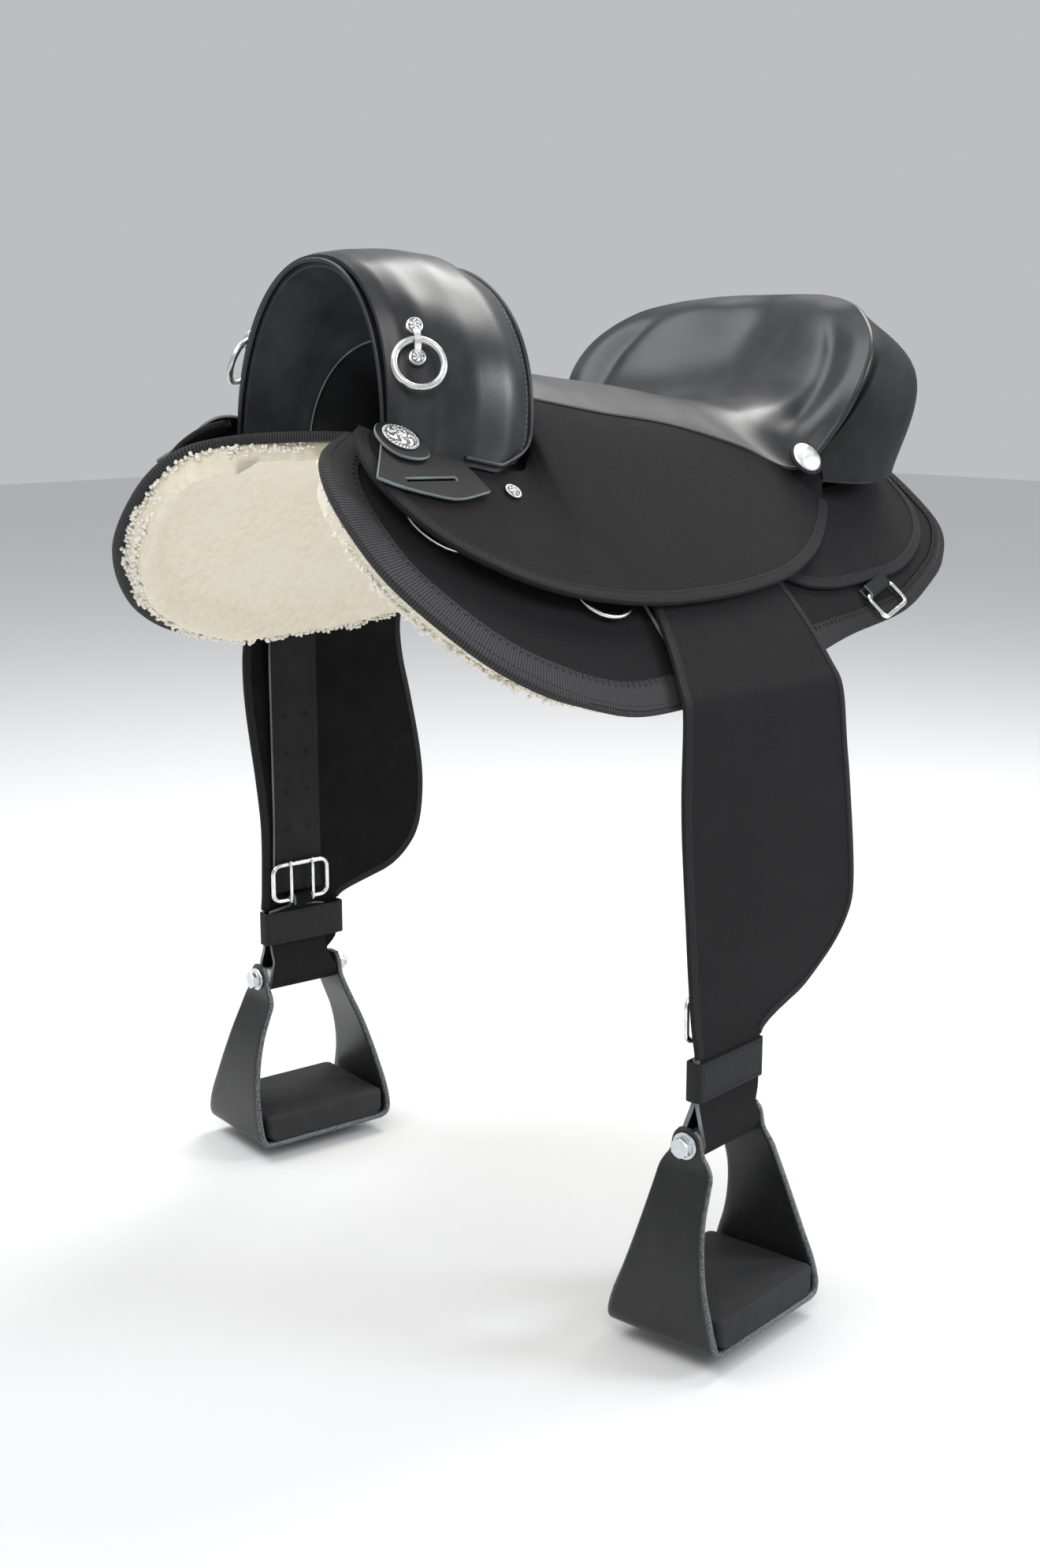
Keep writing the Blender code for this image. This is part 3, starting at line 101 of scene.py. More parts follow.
JOCKEY_WALL = [(0.119, -0.105, 0.009), (0.103, -0.099, 0.03)]
JOCKEY_SEAM_END = 0.186

# Swell and gullet
ARCH_POWER = 2.15
LIP_Y = -0.227
LIP_LEAN = 0.01
WELT_Y = -0.118
WELT_LEAN = 0.027
HOOD_HALF_WIDTH = [(0.0, 0.097), (0.08, 0.109), (0.25, 0.121), (0.5, 0.132), (0.75, 0.137), (1.0, 0.13)]
HOOD_TOP = [(0.0, 0.1575), (0.08, 0.16), (0.25, 0.1625), (0.5, 0.1635), (0.75, 0.161), (1.0, 0.149)]
REAR_WALL_STEPS = [(0.97, 0.0035), (0.88, 0.006), (0.74, 0.0066), (0.52, 0.0066)]
GULLET_HALF_WIDTH = [(0.0, 0.089), (1.0, 0.057)]
GULLET_TOP = [(0.0, 0.15), (0.35, 0.128), (1.0, 0.058)]
GULLET_REAR = -0.093
LINING_THICKNESS = 0.0025
LIP_ROLL_RADIUS = 0.0019
FOOT_ROUNDING = 0.009
BELLY_RISE = 0.0045
BELLY_Z = 0.064
BELLY_SPREAD = 0.034
FLAP_FOOT = 0.42
FLAP_RISE = 0.22
FLAP_INSETS = ((0.0002, 0.001), (0.002, 0.0014))
SHELL_THICKNESS = 0.004
WELT_SEAM_GAP = 0.0062

# Seat, as centre, middle and edge points of each cross line, and the cantle back's bulge and base
SEAT_THICKNESS = 0.007
CANTLE_FIRST_ROW = 62
CANTLE_FOOT_RADIUS = 0.0024
SIDE_START = 0.12
SIDE_END = 0.232
WALL_END = 0.209
SEAT_LINES = [
    ((0.000, -0.0812, 0.076), (0.05, -0.0872, 0.071), (0.084, -0.0955, 0.052)),
    ((0.000, 0.0000, 0.064), (0.05, 0.0000, 0.06), (0.096, 0.0000, 0.035)),
    ((0.000, 0.075, 0.055), (0.055, 0.075, 0.051), (0.102, 0.075, 0.024)),
    ((0.000, 0.14, 0.044), (0.07, 0.14, 0.039), (0.125, 0.142, 0.004)),
    ((0.000, 0.185, 0.039), (0.09, 0.185, 0.032), (0.152, 0.188, -0.016)),
    ((0.000, 0.215, 0.04), (0.103, 0.212, 0.037), (0.168, 0.22, 0.018)),
    ((0.000, 0.245, 0.05), (0.112, 0.238, 0.054), (0.179, 0.24, 0.06)),
    ((0.000, 0.275, 0.072), (0.108, 0.262, 0.084), (0.17, 0.264, 0.093)),
    ((0.000, 0.3, 0.1), (0.085, 0.285, 0.112), (0.138, 0.29, 0.119)),
    ((0.000, 0.318, 0.124), (0.06, 0.306, 0.127), (0.102, 0.312, 0.13)),
    ((0.000, 0.336, 0.136), (0.035, 0.334, 0.136), (0.065, 0.329, 0.135)),
]
CANTLE_LINES = [
    ((0.162, 0.21, -0.019), (0.162, 0.212, -0.027)),
    ((0.181, 0.25, 0.002), (0.176, 0.248, -0.03)),
    ((0.19, 0.288, 0.033), (0.174, 0.285, -0.028)),
    ((0.178, 0.32, 0.056), (0.156, 0.318, -0.02)),
    ((0.145, 0.348, 0.072), (0.126, 0.342, -0.008)),
    ((0.102, 0.363, 0.08), (0.086, 0.354, 0.006)),
    ((0.056, 0.371, 0.084), (0.044, 0.36, 0.013)),
    ((0.0000, 0.373, 0.085), (0.0000, 0.362, 0.016)),
]

# Hanging leathers
LEATHER_X = 0.281
LEATHER_Y = -0.045
BOLT_Z = -0.528
TWIST_DEG = 6.0
TWIST_TOP = -0.36
TWIST_END = -0.455
SLOPE_FEET = (0.198, 0.214, 0.23, 0.244, 0.256, 0.265, 0.271)
FENDER_LIFT = 0.0077
FENDER_THICKNESS = 0.004
FENDER_SEAM_X = 0.24
FENDER_DROP = [
    (0.2788, -0.176), (0.2822, -0.19), (0.2832, -0.21), (0.2826, -0.24), (0.2811, -0.28), (0.2799, -0.32),
    (0.2795, -0.355), (0.2795, -0.385), (0.2797, -0.405), (0.28, -0.42), (0.2807, -0.433), (0.2818, -0.444),
    (0.2832, -0.453), (0.284, -0.46), (0.284, -0.4955), (0.2885, -0.512),
]
FENDER_EDGES = [
    (0.085, -0.06, 0.085), (0.115, -0.07, 0.092), (0.145, -0.08, 0.094), (0.18, -0.093, 0.094),
    (0.22, -0.096, 0.098), (0.263, -0.094, 0.107), (0.325, -0.087, 0.118), (0.365, -0.083, 0.12),
    (0.395, -0.0815, 0.112), (0.415, -0.081, 0.098), (0.435, -0.0805, 0.07), (0.447, -0.08, 0.03),
    (0.459, -0.08, 0.0045), (0.498, -0.08, 0.003), (0.515, -0.0815, -0.0085),
]
LOOP_RADIUS = 0.0113
BILLET_EDGES = (-0.076, -0.014)
BILLET_PATH = ((0.2725, -0.512), (0.278, -0.4955), (0.278, -0.461))
TAB_START = ((0.2772, -0.4575), (0.2752, -0.4535))
TAB_END_Z = -0.454
BLADE_END_Z = -0.46
TAB_HALF_WIDTH = 0.009
BUCKLE_CENTRE = (0.27, -0.431)
BUCKLE_WIDTH = 0.062
BUCKLE_HEIGHT = 0.036
BUCKLE_WIRE = 0.0023
BUCKLE_TURN_DEG = 5.0
TONGUE_OFFSET = 0.0125
TONGUE_RADIUS = 0.0009
HOBBLE_TOP = -0.462
HOBBLE_BOTTOM = -0.494
HOBBLE_THICKNESS = 0.0025
HOBBLE_INSIDE = (0.2754, 0.2866, -0.0808, 0.0053)
TREAD_Z = -0.686
PLATE_THICKNESS = 0.0055
STIRRUP_SIDE = [
    (0.0425, 0.171, 0.008), (0.0425, 0.165, 0.013), (0.0425, 0.151, 0.0165), (0.0425, 0.144, 0.0215),
    (0.044, 0.136, 0.0255), (0.049, 0.124, 0.0268), (0.0575, 0.104, 0.029), (0.065, 0.08, 0.0335),
    (0.0705, 0.055, 0.04), (0.0735, 0.032, 0.048), (0.0735, 0.014, 0.053), (0.0705, 0.0055, 0.054),
    (0.063, 0.0028, 0.054),
]
PAD_HALF_DEPTH = 0.0525
PAD_HALF_LENGTH = 0.067
PAD_THICKNESS = 0.025
EAR_OFFSET = 0.0425
PAD_CHAMFER = 0.005
SLEEVE_BORE = 0.0053
SLEEVE_HALF_LENGTH = 0.038
HEX_RADIUS = 0.0092
THREAD_PITCH = 0.0005
LEATHER_LIFT = 0.0037
LEATHER_THICKNESS = 0.003
LEATHER_DROP = [
    (0.2742, -0.188), (0.275, -0.206), (0.275, -0.26), (0.275, -0.33), (0.275, -0.37),
    (0.275, -0.4), (0.275, -0.42), (0.275, -0.4415),
]
LEATHER_EDGES = (-0.0725, -0.0175)
STRAP_HOLE_PITCH = 0.038
STRAP_HOLE_FIRST_Z = -0.264
STRAP_HOLE_COUNT = 4
STRAP_HOLE_LEVELS = [
    (0.0024, -0.0006), (0.0024, 0.00015), (0.0019, 0.0002), (0.0018, -0.0004), (0.0002, -0.0004),
]

# Hardware
RING_SPOT = (0.16, 0.518)
RING_STAND_OFF = 0.0064
RING_RADIUS = 0.019
RING_WIRE = 0.0027
CLIP_RISE = [(-0.015, 0.0018), (-0.0105, 0.0034), (-0.007, 0.0074), (-0.0035, 0.0101), (0.0, 0.0107)]
CLIP_SECTION = [
    (0.0024, 0.0005), (0.0027, 0.0), (0.0024, -0.0005), (-0.0024, -0.0005), (-0.0027, 0.0), (-0.0024, 0.0005),
]
CLIP_SCREW_PLACE = 0.0125
TAB_THICKNESS = 0.0016
DEE_WIRE = 0.0021
DEE_LIFT = 0.0046
FRONT_DEE = ((0.145, -0.216), (0.74, -0.66))
REAR_DEE = ((0.197, -0.109), (1.0, -0.05))
SKIRT_DEE = ((0.219, 0.219), (0.97, 0.25))
FRONT_CONCHO = (0.101, -0.233)
SEAT_SCREW = (0.138, -0.15)
REAR_CONCHO = (0.152, 0.193, -0.014)
REAR_CONCHO_FACING = (0.8, -0.14, 0.58)
REAR_CONCHO_LIFT = 0.0118
CONCHO_RADIUS = 0.015
REAR_CONCHO_RADIUS = 0.014
SCREW_RADIUS = 0.007
WASHER_LEVELS = [(0.0162, -0.0016), (0.0172, -0.0008), (0.017, 0.0004), (0.015, 0.001)]
CONCHO_LEAF = [
    (0.019, -0.012), (0.0235, 0.002), (0.02, 0.015), (0.006, 0.0205), (-0.01, 0.018), (-0.0185, 0.006),
    (-0.0175, -0.01), (-0.007, -0.0185), (0.008, -0.019),
]
# The edge of a cut leather, as (push outwards, height) in shares of its thickness
LEAF_EDGE = ((0.0, 0.0), (0.16, 0.2), (0.2, 0.5), (0.16, 0.8), (0.0, 1.0))
KEEPER_TOP = 0.024
KEEPER_THICKNESS = 0.0028
KEEPER_SLOT = ((0.1305, -0.228), 0.05, 0.0035)
KEEPER_INNER = [(0.1, -0.248), (0.1015, -0.24), (0.106, -0.226), (0.1115, -0.208), (0.117, -0.186)]
KEEPER_OUTER = [(0.128, -0.277), (0.134, -0.262), (0.14, -0.24), (0.1445, -0.214), (0.14, -0.178)]

# Camera, from the photo, then the floor and the lamps
SENSOR_HEIGHT = 36.0
FOCAL_PIXELS = 2482.0
PHOTO_HEIGHT_PIXELS = 1990.0
CAMERA_SHIFT = -0.0011
CAMERA_PLACE = (1.24646, -1.1763, 0.09042)
CAMERA_TARGET = (0, 0, -0.2944)
FLOOR_HALF = 9.0
FLOOR_Z = -0.7
# Name, place, target, colour, width, height and power
LAMPS = (
    ("key", (1.7, -1.7, 1.9), (0, 0, -0.1), (1.0, 0.98, 0.96), 1.2, 1.2, 27.0),
    ("over", (-0.25, 1.25, 2.0), (0, 0.05, 0.05), (1.0, 0.99, 0.97), 1.5, 1.1, 54.0),
    ("flank", (2.0, 1.6, 0.9), (0, -0.05, 0.05), (0.88, 0.93, 1.0), 0.9, 0.9, 34.0),
    ("front", (-1.0, -1.05, 2.1), (0, -0.05, 0.05), (0.96, 0.98, 1.0), 2.0, 1.5, 42.0),
)


# Lines and grids of points
def mirrored(p):
    return Vector((-p[0], p[1], p[2]))


def both_halves(line):
    """A line that ends on the centre plane, carried on to the other side."""
    return line + [mirrored(p) for p in reversed(line[:-1])]


def facing(normal, way):
    """The normal, turned over if it points against the way."""
    return -normal if normal.dot(way) < 0 else normal


def beside(row, i, closed=False):
    """What comes before and after place i. An open row's ends stand in for what is missing."""
    if closed:
        return row[i - 1], row[(i + 1) % len(row)]
    return row[max(i - 1, 0)], row[min(i + 1, len(row) - 1)]


def even(count):
    return [k / (count - 1) for k in range(count)]


def spins(count):
    """(cosine, sine) of even steps round a circle."""
    turns = [2 * math.pi * k / count for k in range(count)]
    return [(math.cos(a), math.sin(a)) for a in turns]


def lengths_along(points):
    """The length of a line of points up to each of them."""
    lengths = [0.0]
    for a, b in zip(points, points[1:]):
        lengths.append(lengths[-1] + (b - a).length)
    return lengths


def even_places(lengths, count, parts):
    """(segment, fraction) of count places, where parts of them make up the whole line."""
    i = 0
    for k in range(count):
        s = lengths[-1] * k / parts
        while i < len(lengths) - 2 and s > lengths[i + 1]:
            i += 1
        yield i, (s - lengths[i]) / max(lengths[i + 1] - lengths[i], SHORTEST)


def curve(points, count):
    """Sample a smooth curve through the points, evenly by chord length."""
    pts = [Vector(tuple(p) + (0.0,) * (3 - len(p))) for p in points]
    lengths = lengths_along(pts)
    slopes = []
    for i in range(len(pts)):
        low, high = max(i - 1, 0), min(i + 1, len(pts) - 1)
        slopes.append((pts[high] - pts[low]) / (lengths[high] - lengths[low]))
    samples = []
    for i, t in even_places(lengths, count, count - 1):
        span = lengths[i + 1] - lengths[i]
        start = pts[i] * (2 * t**3 - 3 * t**2 + 1) + slopes[i] * span * (t**3 - 2 * t**2 + t)
        end = pts[i + 1] * (3 * t**2 - 2 * t**3) + slopes[i + 1] * span * (t**3 - t**2)
        samples.append(start + end)
    return samples


def resample(points, step, closed=False):
    """Points at an even spacing along a line."""
    pts = list(points) + ([points[0]] if closed else [])
    lengths = lengths_along(pts)
    parts = max(int(lengths[-1] / step), 2)
    count = parts if closed else parts + 1
    return [pts[i].lerp(pts[i + 1], min(t, 1.0)) for i, t in even_places(lengths, count, parts)]


def smoothstep(x, low, high):
    t = min(max((x - low) / (high - low), 0.0), 1.0)
    return t * t * (3 - 2 * t)


def band(x, low, low_full, high_full, high):
    """One between the two full places, nought outside low and high."""
    return smoothstep(x, low, low_full) * (1 - smoothstep(x, high_full, high))


def ramp(table, x):
    """Read a value from (x, value) pairs, with steps that are half smooth and half straight."""
    if x <= table[0][0]:
        return table[0][1]
    for (xa, va), (xb, vb) in zip(table, table[1:]):
        if x <= xb:
            t = (x - xa) / (xb - xa)
            return va + (vb - va) * (t * t * (3 - 2 * t) * 0.5 + t * 0.5)
    return table[-1][1]


def grid_normals(grid):
    out = []
    for i, line in enumerate(grid):
        before, after = beside(grid, i)
        normals = []
        for j in range(len(line)):
            left, right = beside(line, j)
            normals.append((after[j] - before[j]).cross(right - left).normalized())
        out.append(normals)
    return out


def offset_grid(grid, distance):
    return [[p + n * distance for p, n in zip(a, b)] for a, b in zip(grid, grid_normals(grid))]


def arc(centre, radius, start, stop, count):
    points = []
    for share in even(count):
        a = math.radians(start + (stop - start) * share)
        points.append(Vector((centre[0] + radius * math.cos(a), 0, centre[1] + radius * math.sin(a))))
    return points


def rounded_rectangle(width, height, radius, steps):
    points = []
    for cx, cy, start in ((1, 1, 0), (-1, 1, 90), (-1, -1, 180), (1, -1, 270)):
        for k in range(steps + 1):
            a = math.radians(start + 90 * k / steps)
            x = cx * (width / 2 - radius) + radius * math.cos(a)
            points.append((x, cy * (height / 2 - radius) + radius * math.sin(a)))
    return points


def frame_matrix(origin, x_axis, z_axis):
    x_axis = x_axis.normalized()
    z_axis = (z_axis - x_axis * z_axis.dot(x_axis)).normalized()
    matrix = Matrix((x_axis, z_axis.cross(x_axis), z_axis)).transposed().to_4x4()
    matrix.translation = origin
    return matrix


# The horse's back
def back_height(x, y):
    rise = 0.06 if y < 0.04 else -0.2
    out = abs(x) - 0.086
    drop = (math.hypot(out, 0.03) + out) / 2
    if abs(x) > 0.2:
        drop += 2.5 * (abs(x) - 0.2) ** 2
    return 0.02 + rise * (y - 0.04) ** 2 - drop


def back_normal(x, y):
    step = 1e-4
    dx = (back_height(x + step, y) - back_height(x - step, y)) / (2 * step)
    dy = (back_height(x, y + step) - back_height(x, y - step)) / (2 * step)
    return Vector((-dx, -dy, 1.0)).normalized()


def on_back(x, y, lift):
    return Vector((x, y, back_height(x, y))) + back_normal(x, y) * lift


def height_over_back(x, y, lift):
    return back_height(x, y) + lift / back_normal(x, y).z


def footprint(point):
    """The plan point and lift whose place on the back is the given point."""
    x, y = point.x, point.y
    lift = 0.0
    for _ in range(20):
        normal = back_normal(x, y)
        lift = (point - Vector((x, y, back_height(x, y)))).dot(normal)
        x, y = point.x - normal.x * lift, point.y - normal.y * lift
    return x, y, lift


def plan_feet(outline, lift):
    return [footprint(Vector((x, y, height_over_back(x, y, lift))))[:2] for x, y in outline]


def draped_skins(inner, outer, columns, lift_of, thickness):
    """The top and under skins of a panel that lies on the back."""
    skins = []
    for depth in (0.0, thickness):
        grid = []
        for row, (a, b) in enumerate(zip(inner, outer)):
            grid.append([on_back(*a.lerp(b, u).xy, lift_of(u, row) - depth) for u in columns])
        skins.append(grid)
    return skins


def surface_frame(x, y, lift, heading):
    normal = back_normal(x, y)
    way = Vector((heading[0], heading[1], 0))
    return frame_matrix(on_back(x, y, lift), way - normal * way.dot(normal), normal)


# Materials
class Signal:
    """A node's output in a look. Sums and products with it become Math nodes."""

    def __init__(self, look, socket):
        self.look, self.socket = look, socket

    def maths(self, operation, *others, clamp=False):
        return self.look.maths(operation, self, *others, clamp=clamp)

    def __add__(self, other):
        return self.maths("ADD", other)

    def __sub__(self, other):
        return self.maths("SUBTRACT", other)

    def __rsub__(self, other):
        return self.look.maths("SUBTRACT", other, self)

    def __mul__(self, other):
        return self.maths("MULTIPLY", other)

    def __abs__(self):
        return self.maths("ABSOLUTE")

    def scaled(self, factor, offset, clamp=False):
        return self.maths("MULTIPLY_ADD", factor, offset, clamp=clamp)

    def mapped(self, low, high, to_low=0.0, to_high=1.0):
        """A smooth step from to_low to to_high between low and high."""
        settings = {"interpolation_type": "SMOOTHSTEP"}
        return self.look.node("MapRange", settings, _0=self, _1=low, _2=high, _3=to_low, _4=to_high)

    def mixed(self, a, b):
        """Blend two colours, from a at nought to b at one."""
        a, b = [colour if isinstance(colour, Signal) else (*colour, 1.0) for colour in (a, b)]
        return self.look.node("Mix", {"data_type": "RGBA"}, 2, _0=self, _6=a, _7=b)


class Look:
    """A Principled material in the making. Sockets are named with underscores for spaces."""

    def __init__(self, name, colour, roughness, metallic=0.0, **direct):
        self.material = bpy.data.materials.new(name)
        self.material.use_nodes = True
        self.material.diffuse_color = (*colour, 1.0)
        self.tree = self.material.node_tree
        self.shader = self.tree.nodes["Principled BSDF"]
        self.normal = None
        self.fill(self.shader, Base_Color=(*colour, 1.0), Roughness=roughness, Metallic=metallic, **direct)

    def fill(self, made, **values):
        """Set a node's inputs to signals or plain values. A name such as _2 is the input's number."""
        for key, value in values.items():
            socket = made.inputs[int(key[1:]) if key[0] == "_" else key.replace("_", " ")]
            if isinstance(value, Signal):
                self.tree.links.new(value.socket, socket)
            else:
                socket.default_value = value

    def set(self, **values):
        self.fill(self.shader, **values)

    def node(self, kind, settings=None, output=0, **values):
        made = self.tree.nodes.new("ShaderNode" + kind)
        for key, value in (settings or {}).items():
            setattr(made, key, value)
        self.fill(made, **values)
        return Signal(self, made.outputs[output])

    def maths(self, operation, *values, clamp=False):
        inputs = {"_%d" % k: value for k, value in enumerate(values)}
        return self.node("Math", {"operation": operation, "use_clamp": clamp}, **inputs)

    def object_space(self):
        return self.node("TexCoord", None, "Object")

    def cloth_space(self):
        """The cloth place in metres, and its parts across and along."""
        place = self.node("UVMap", {"uv_map": "Cloth"})
        across = self.node("SeparateXYZ", Vector=place)
        return place, across, Signal(self, across.socket.node.outputs["Y"])

    def noise(self, where, scale, detail=3.0, rough=0.5):
        return self.node("TexNoise", None, "Fac", Vector=where, Scale=scale, Detail=detail, Roughness=rough)

    def bump(self, height, distance, strength=1.0):
        """Add relief, on top of the relief that is there."""
        below = {"Normal": self.normal} if self.normal else {}
        self.normal = self.node("Bump", Height=height, Distance=distance, Strength=strength, **below)
        self.set(Normal=self.normal)


def shade(colour, factor, lift=0.0):
    return tuple(min(c * factor + lift, 1.0) for c in colour)


def leather(name, colour, roughness, grain=1.0, gloss=0.5):
    """Smooth finished leather: fine pores, faint creases and uneven polish."""
    look = Look(name, colour, roughness, Specular_IOR_Level=gloss)
    where = look.object_space()
    pores = look.node("TexVoronoi", {"feature": "F1"}, "Distance", Vector=where, Scale=820.0)
    cloud = look.noise(where, 38.0, 4.0)
    fine = look.noise(where, 420.0)
    look.set(Base_Color=cloud.mapped(0.35, 0.75).mixed(colour, shade(colour, 1.5, 0.002)))
    polish = cloud.mapped(0.3, 0.7, -0.5, 0.5).scaled(0.05, roughness)
    look.set(Roughness=(fine - 0.5).scaled(0.06, polish, clamp=True))
    look.bump(pores, 0.00009 * grain, 0.3)
    look.bump(cloud, 0.0008, 0.06)
    return look.material


def cordura(name, colour):
    """Plain woven nylon: threads go over and under in turn."""
    look = Look(name, colour, 0.86, Specular_IOR_Level=0.14, Sheen_Weight=0.02, Sheen_Roughness=0.5)
    place, across, along = look.cloth_space()
    u, v = across * (1.0 / WEAVE_PITCH), along * (1.0 / WEAVE_PITCH)
    parity = abs((u.maths("FLOOR") + v.maths("FLOOR")).maths("MODULO", 2.0))
    warp, weft = [abs((thread_place * math.pi).maths("SINE")) for thread_place in (u, v)]
    weave = warp * parity + weft * (1.0 - parity)
    speck = look.noise(place, 1400.0, 2.0, 0.6)
    cloud = look.noise(place, 26.0, 4.0)
    tone = weave * speck.mapped(0.3, 0.7, 0.35, 1.0)
    base = tone.mixed(shade(colour, 0.62), shade(colour, 1.9, 0.004))
    look.set(Base_Color=cloud.mapped(0.45, 0.8, 0.0, 0.35).mixed(base, shade(colour, 1.7, 0.004)))
    look.bump(weave + speck * 0.6, 0.0003, 0.7)
    return look.material


def grosgrain(name, colour, pitch, fade=None):
    """Ribbed tape: the ribs run across it. Along y, between the fade's two places, it gets darker."""
    look = Look(name, colour, 0.72, Specular_IOR_Level=0.22, Sheen_Weight=0.03, Sheen_Roughness=0.5)
    place, _, along = look.cloth_space()
    rib = abs((along * (math.pi / pitch)).maths("SINE"))
    speck = look.noise(place, 1100.0, 2.0, 0.6)
    tone = rib * speck.mapped(0.3, 0.7, 0.45, 1.0)
    base = tone.mixed(shade(colour, 0.45), shade(colour, 2.1, 0.004))
    if fade:
        y = look.node("SeparateXYZ", None, "Y", Vector=look.object_space())
        base = y.mapped(*fade).mixed(base, shade(colour, 0.35))
    look.set(Base_Color=base)
    look.bump(rib + speck * 0.4, 0.0007, 0.9)
    return look.material


def sheepskin(name, root, wool):
    """Short cream pile: soft clumps with shaded roots."""
    look = Look(name, (0.8, 0.73, 0.56), 0.95, Sheen_Weight=0.35, Sheen_Roughness=0.6)
    look.set(Sheen_Tint=(1.0, 0.97, 0.9, 1.0))
    where = look.object_space()
    clumps = look.noise(where, 150.0, 5.0, 0.62)
    broad = look.noise(where, 14.0)
    hair = look.noise(where, 900.0, 3.0, 0.7)
    tone = clumps * 0.6 + hair * 0.4
    base = tone.mapped(0.32, 0.62).mixed(root, wool)
    look.set(Base_Color=broad.mapped(0.4, 0.75, 0.0, 0.5).mixed(base, (0.86, 0.82, 0.7)))
    look.bump(tone, 0.0014, 0.5)
    return look.material


def metal(name, colour, roughness, engraved=False):
    """Plated metal with fine wear. An engraved piece is dark and dull where its cloth value says recess."""
    look = Look(name, colour, roughness, 1.0)
    where = look.object_space()
    cloud = look.noise(where, 160.0, 4.0)
    polish = cloud.mapped(0.35, 0.7).scaled(0.14, roughness, clamp=True)
    base = cloud.mapped(0.5, 0.75, 0.0, 0.6).mixed(colour, shade(colour, 0.78))
    if engraved:
        recess = look.cloth_space()[1].mapped(0.45, 0.95)
        base = recess.mixed(base, (0.17, 0.17, 0.165))
        polish = recess.scaled(0.35, polish, clamp=True)
    look.set(Roughness=polish, Base_Color=base)
    look.bump(look.noise(where, 1500.0, 2.0), 0.00005, 0.5)
    return look.material


def moulded(name, colour, roughness, worn_and_lit_edges=False):
    """Black moulded strap or rubber. Worn edges are pale, partly from real wear and partly as a painted
    highlight along the edges.
    """
    look = Look(name, colour, roughness, Specular_IOR_Level=0.45)
    where = look.object_space()
    cloud = look.noise(where, 60.0, 5.0, 0.6)
    fine = look.noise(where, 700.0, 3.0, 0.6)
    base = cloud.mapped(0.42, 0.72, 0.0, 0.8).mixed(colour, shade(colour, 1.35, 0.001))
    if worn_and_lit_edges:
        # Pale edges: partly real wear, partly a painted highlight where the edges catch the light.
        from_edge = abs(look.cloth_space()[1] - 1.0)
        wear_and_highlight = from_edge.mapped(0.1, 0.0) * fine.mapped(0.38, 0.6, 0.15, 1.0)
        base = wear_and_highlight.mixed(base, (0.16, 0.165, 0.17))
    look.set(Base_Color=base, Roughness=(fine - 0.5).scaled(0.22, roughness, clamp=True))
    look.bump(fine, 0.00018, 0.5)
    return look.material


def thread(name, colour):
    look = Look(name, colour, 0.6, Specular_IOR_Level=0.4)
    speck = look.noise(look.object_space(), 2500.0, 2.0)
    look.set(Base_Color=speck.mapped(0.3, 0.7).mixed(shade(colour, 0.6), colour))
    return look.material


BLACK = leather("black_leather", (0.0118, 0.0123, 0.014), 0.36)
LINING = leather("gullet_leather", (0.033, 0.0345, 0.037), 0.46)
SUEDE = leather("cantle_leather", (0.011, 0.011, 0.0115), 0.66, 2.2, 0.25)
STRAP = leather("strap_leather", (0.0072, 0.0073, 0.0079), 0.62, 1.6, 0.2)
GULLET = leather("swell_lining", (0.02, 0.021, 0.0228), 0.5, 1.2, 0.4)
FLESH = leather("fender_inside", (0.0036, 0.0036, 0.0042), 0.66, 1.4, 0.08)
CUT_EDGE = leather("cut_edge", (0.17, 0.2, 0.195), 0.6, 1.5)
PALE_EDGE = leather("pale_edge", (0.25, 0.26, 0.26), 0.6, 1.5)
WOVEN = cordura("woven_nylon", (0.0088, 0.0083, 0.009))
SKIRTING = cordura("skirt_nylon", (0.0068, 0.0065, 0.0072))
TAPE = grosgrain("ribbed_tape", (0.027, 0.0262, 0.0275), 0.0022, TAPE_FADE)
EDGE_TAPE = grosgrain("edge_tape", (0.01, 0.0096, 0.0103), 0.0011)
PILE = sheepskin("sheepskin_pile", (0.73, 0.665, 0.515), (0.845, 0.79, 0.645))
# The tufts' copy of the pile is painted lighter, to offset the shade the tufts cast on each other.
LIGHTENED_TIPS = sheepskin("sheepskin_tips_lightened", (0.92, 0.88, 0.78), (0.96, 0.93, 0.85))
NICKEL = metal("polished_nickel", (0.82, 0.82, 0.81), 0.16)
WORN = metal("satin_nickel", (0.72, 0.72, 0.71), 0.24)
SATIN = metal("brushed_nickel", (0.86, 0.86, 0.85), 0.34)
ENGRAVED = metal("engraved_nickel", (0.8, 0.8, 0.79), 0.24, True)
AGED = metal("aged_nickel", (0.5, 0.5, 0.485), 0.36, True)
ZINC = metal("zinc_plate", (0.7, 0.73, 0.75), 0.26)
STEEL = metal("plain_steel", (0.56, 0.57, 0.58), 0.34)
# Stirrup plastic with pale edges: partly wear, partly painted highlight.
MOULDED = moulded("stirrup_satin", (0.011, 0.0112, 0.0116), 0.38, True)
RUBBER = moulded("tread_rubber", (0.017, 0.017, 0.0178), 0.8)
COVERED_TREE = moulded("covered_tree", (0.01, 0.0097, 0.0095), 0.7)
WEBBING = grosgrain("band_webbing", (0.015, 0.0152, 0.016), 0.0013)
# Near-black painted shade that stands in for the dark inside of the punched holes, which are not cut.
HOLE_SHADE = leather("painted_hole_shade", (0.003, 0.003, 0.003), 0.8, 1.0, 0.1)
DARK_THREAD = thread("dark_thread", (0.022, 0.022, 0.024))
GREY_THREAD = thread("grey_thread", (0.2, 0.21, 0.23))


# Shapes
def grid_faces(rows, cols):
    """The corner numbers of each cell of a grid of points."""
    faces = []
    for i in range(rows - 1):
        for k in range(i * cols, i * cols + cols - 1):
            faces.append((k, k + cols, k + cols + 1, k + 1))
    return faces


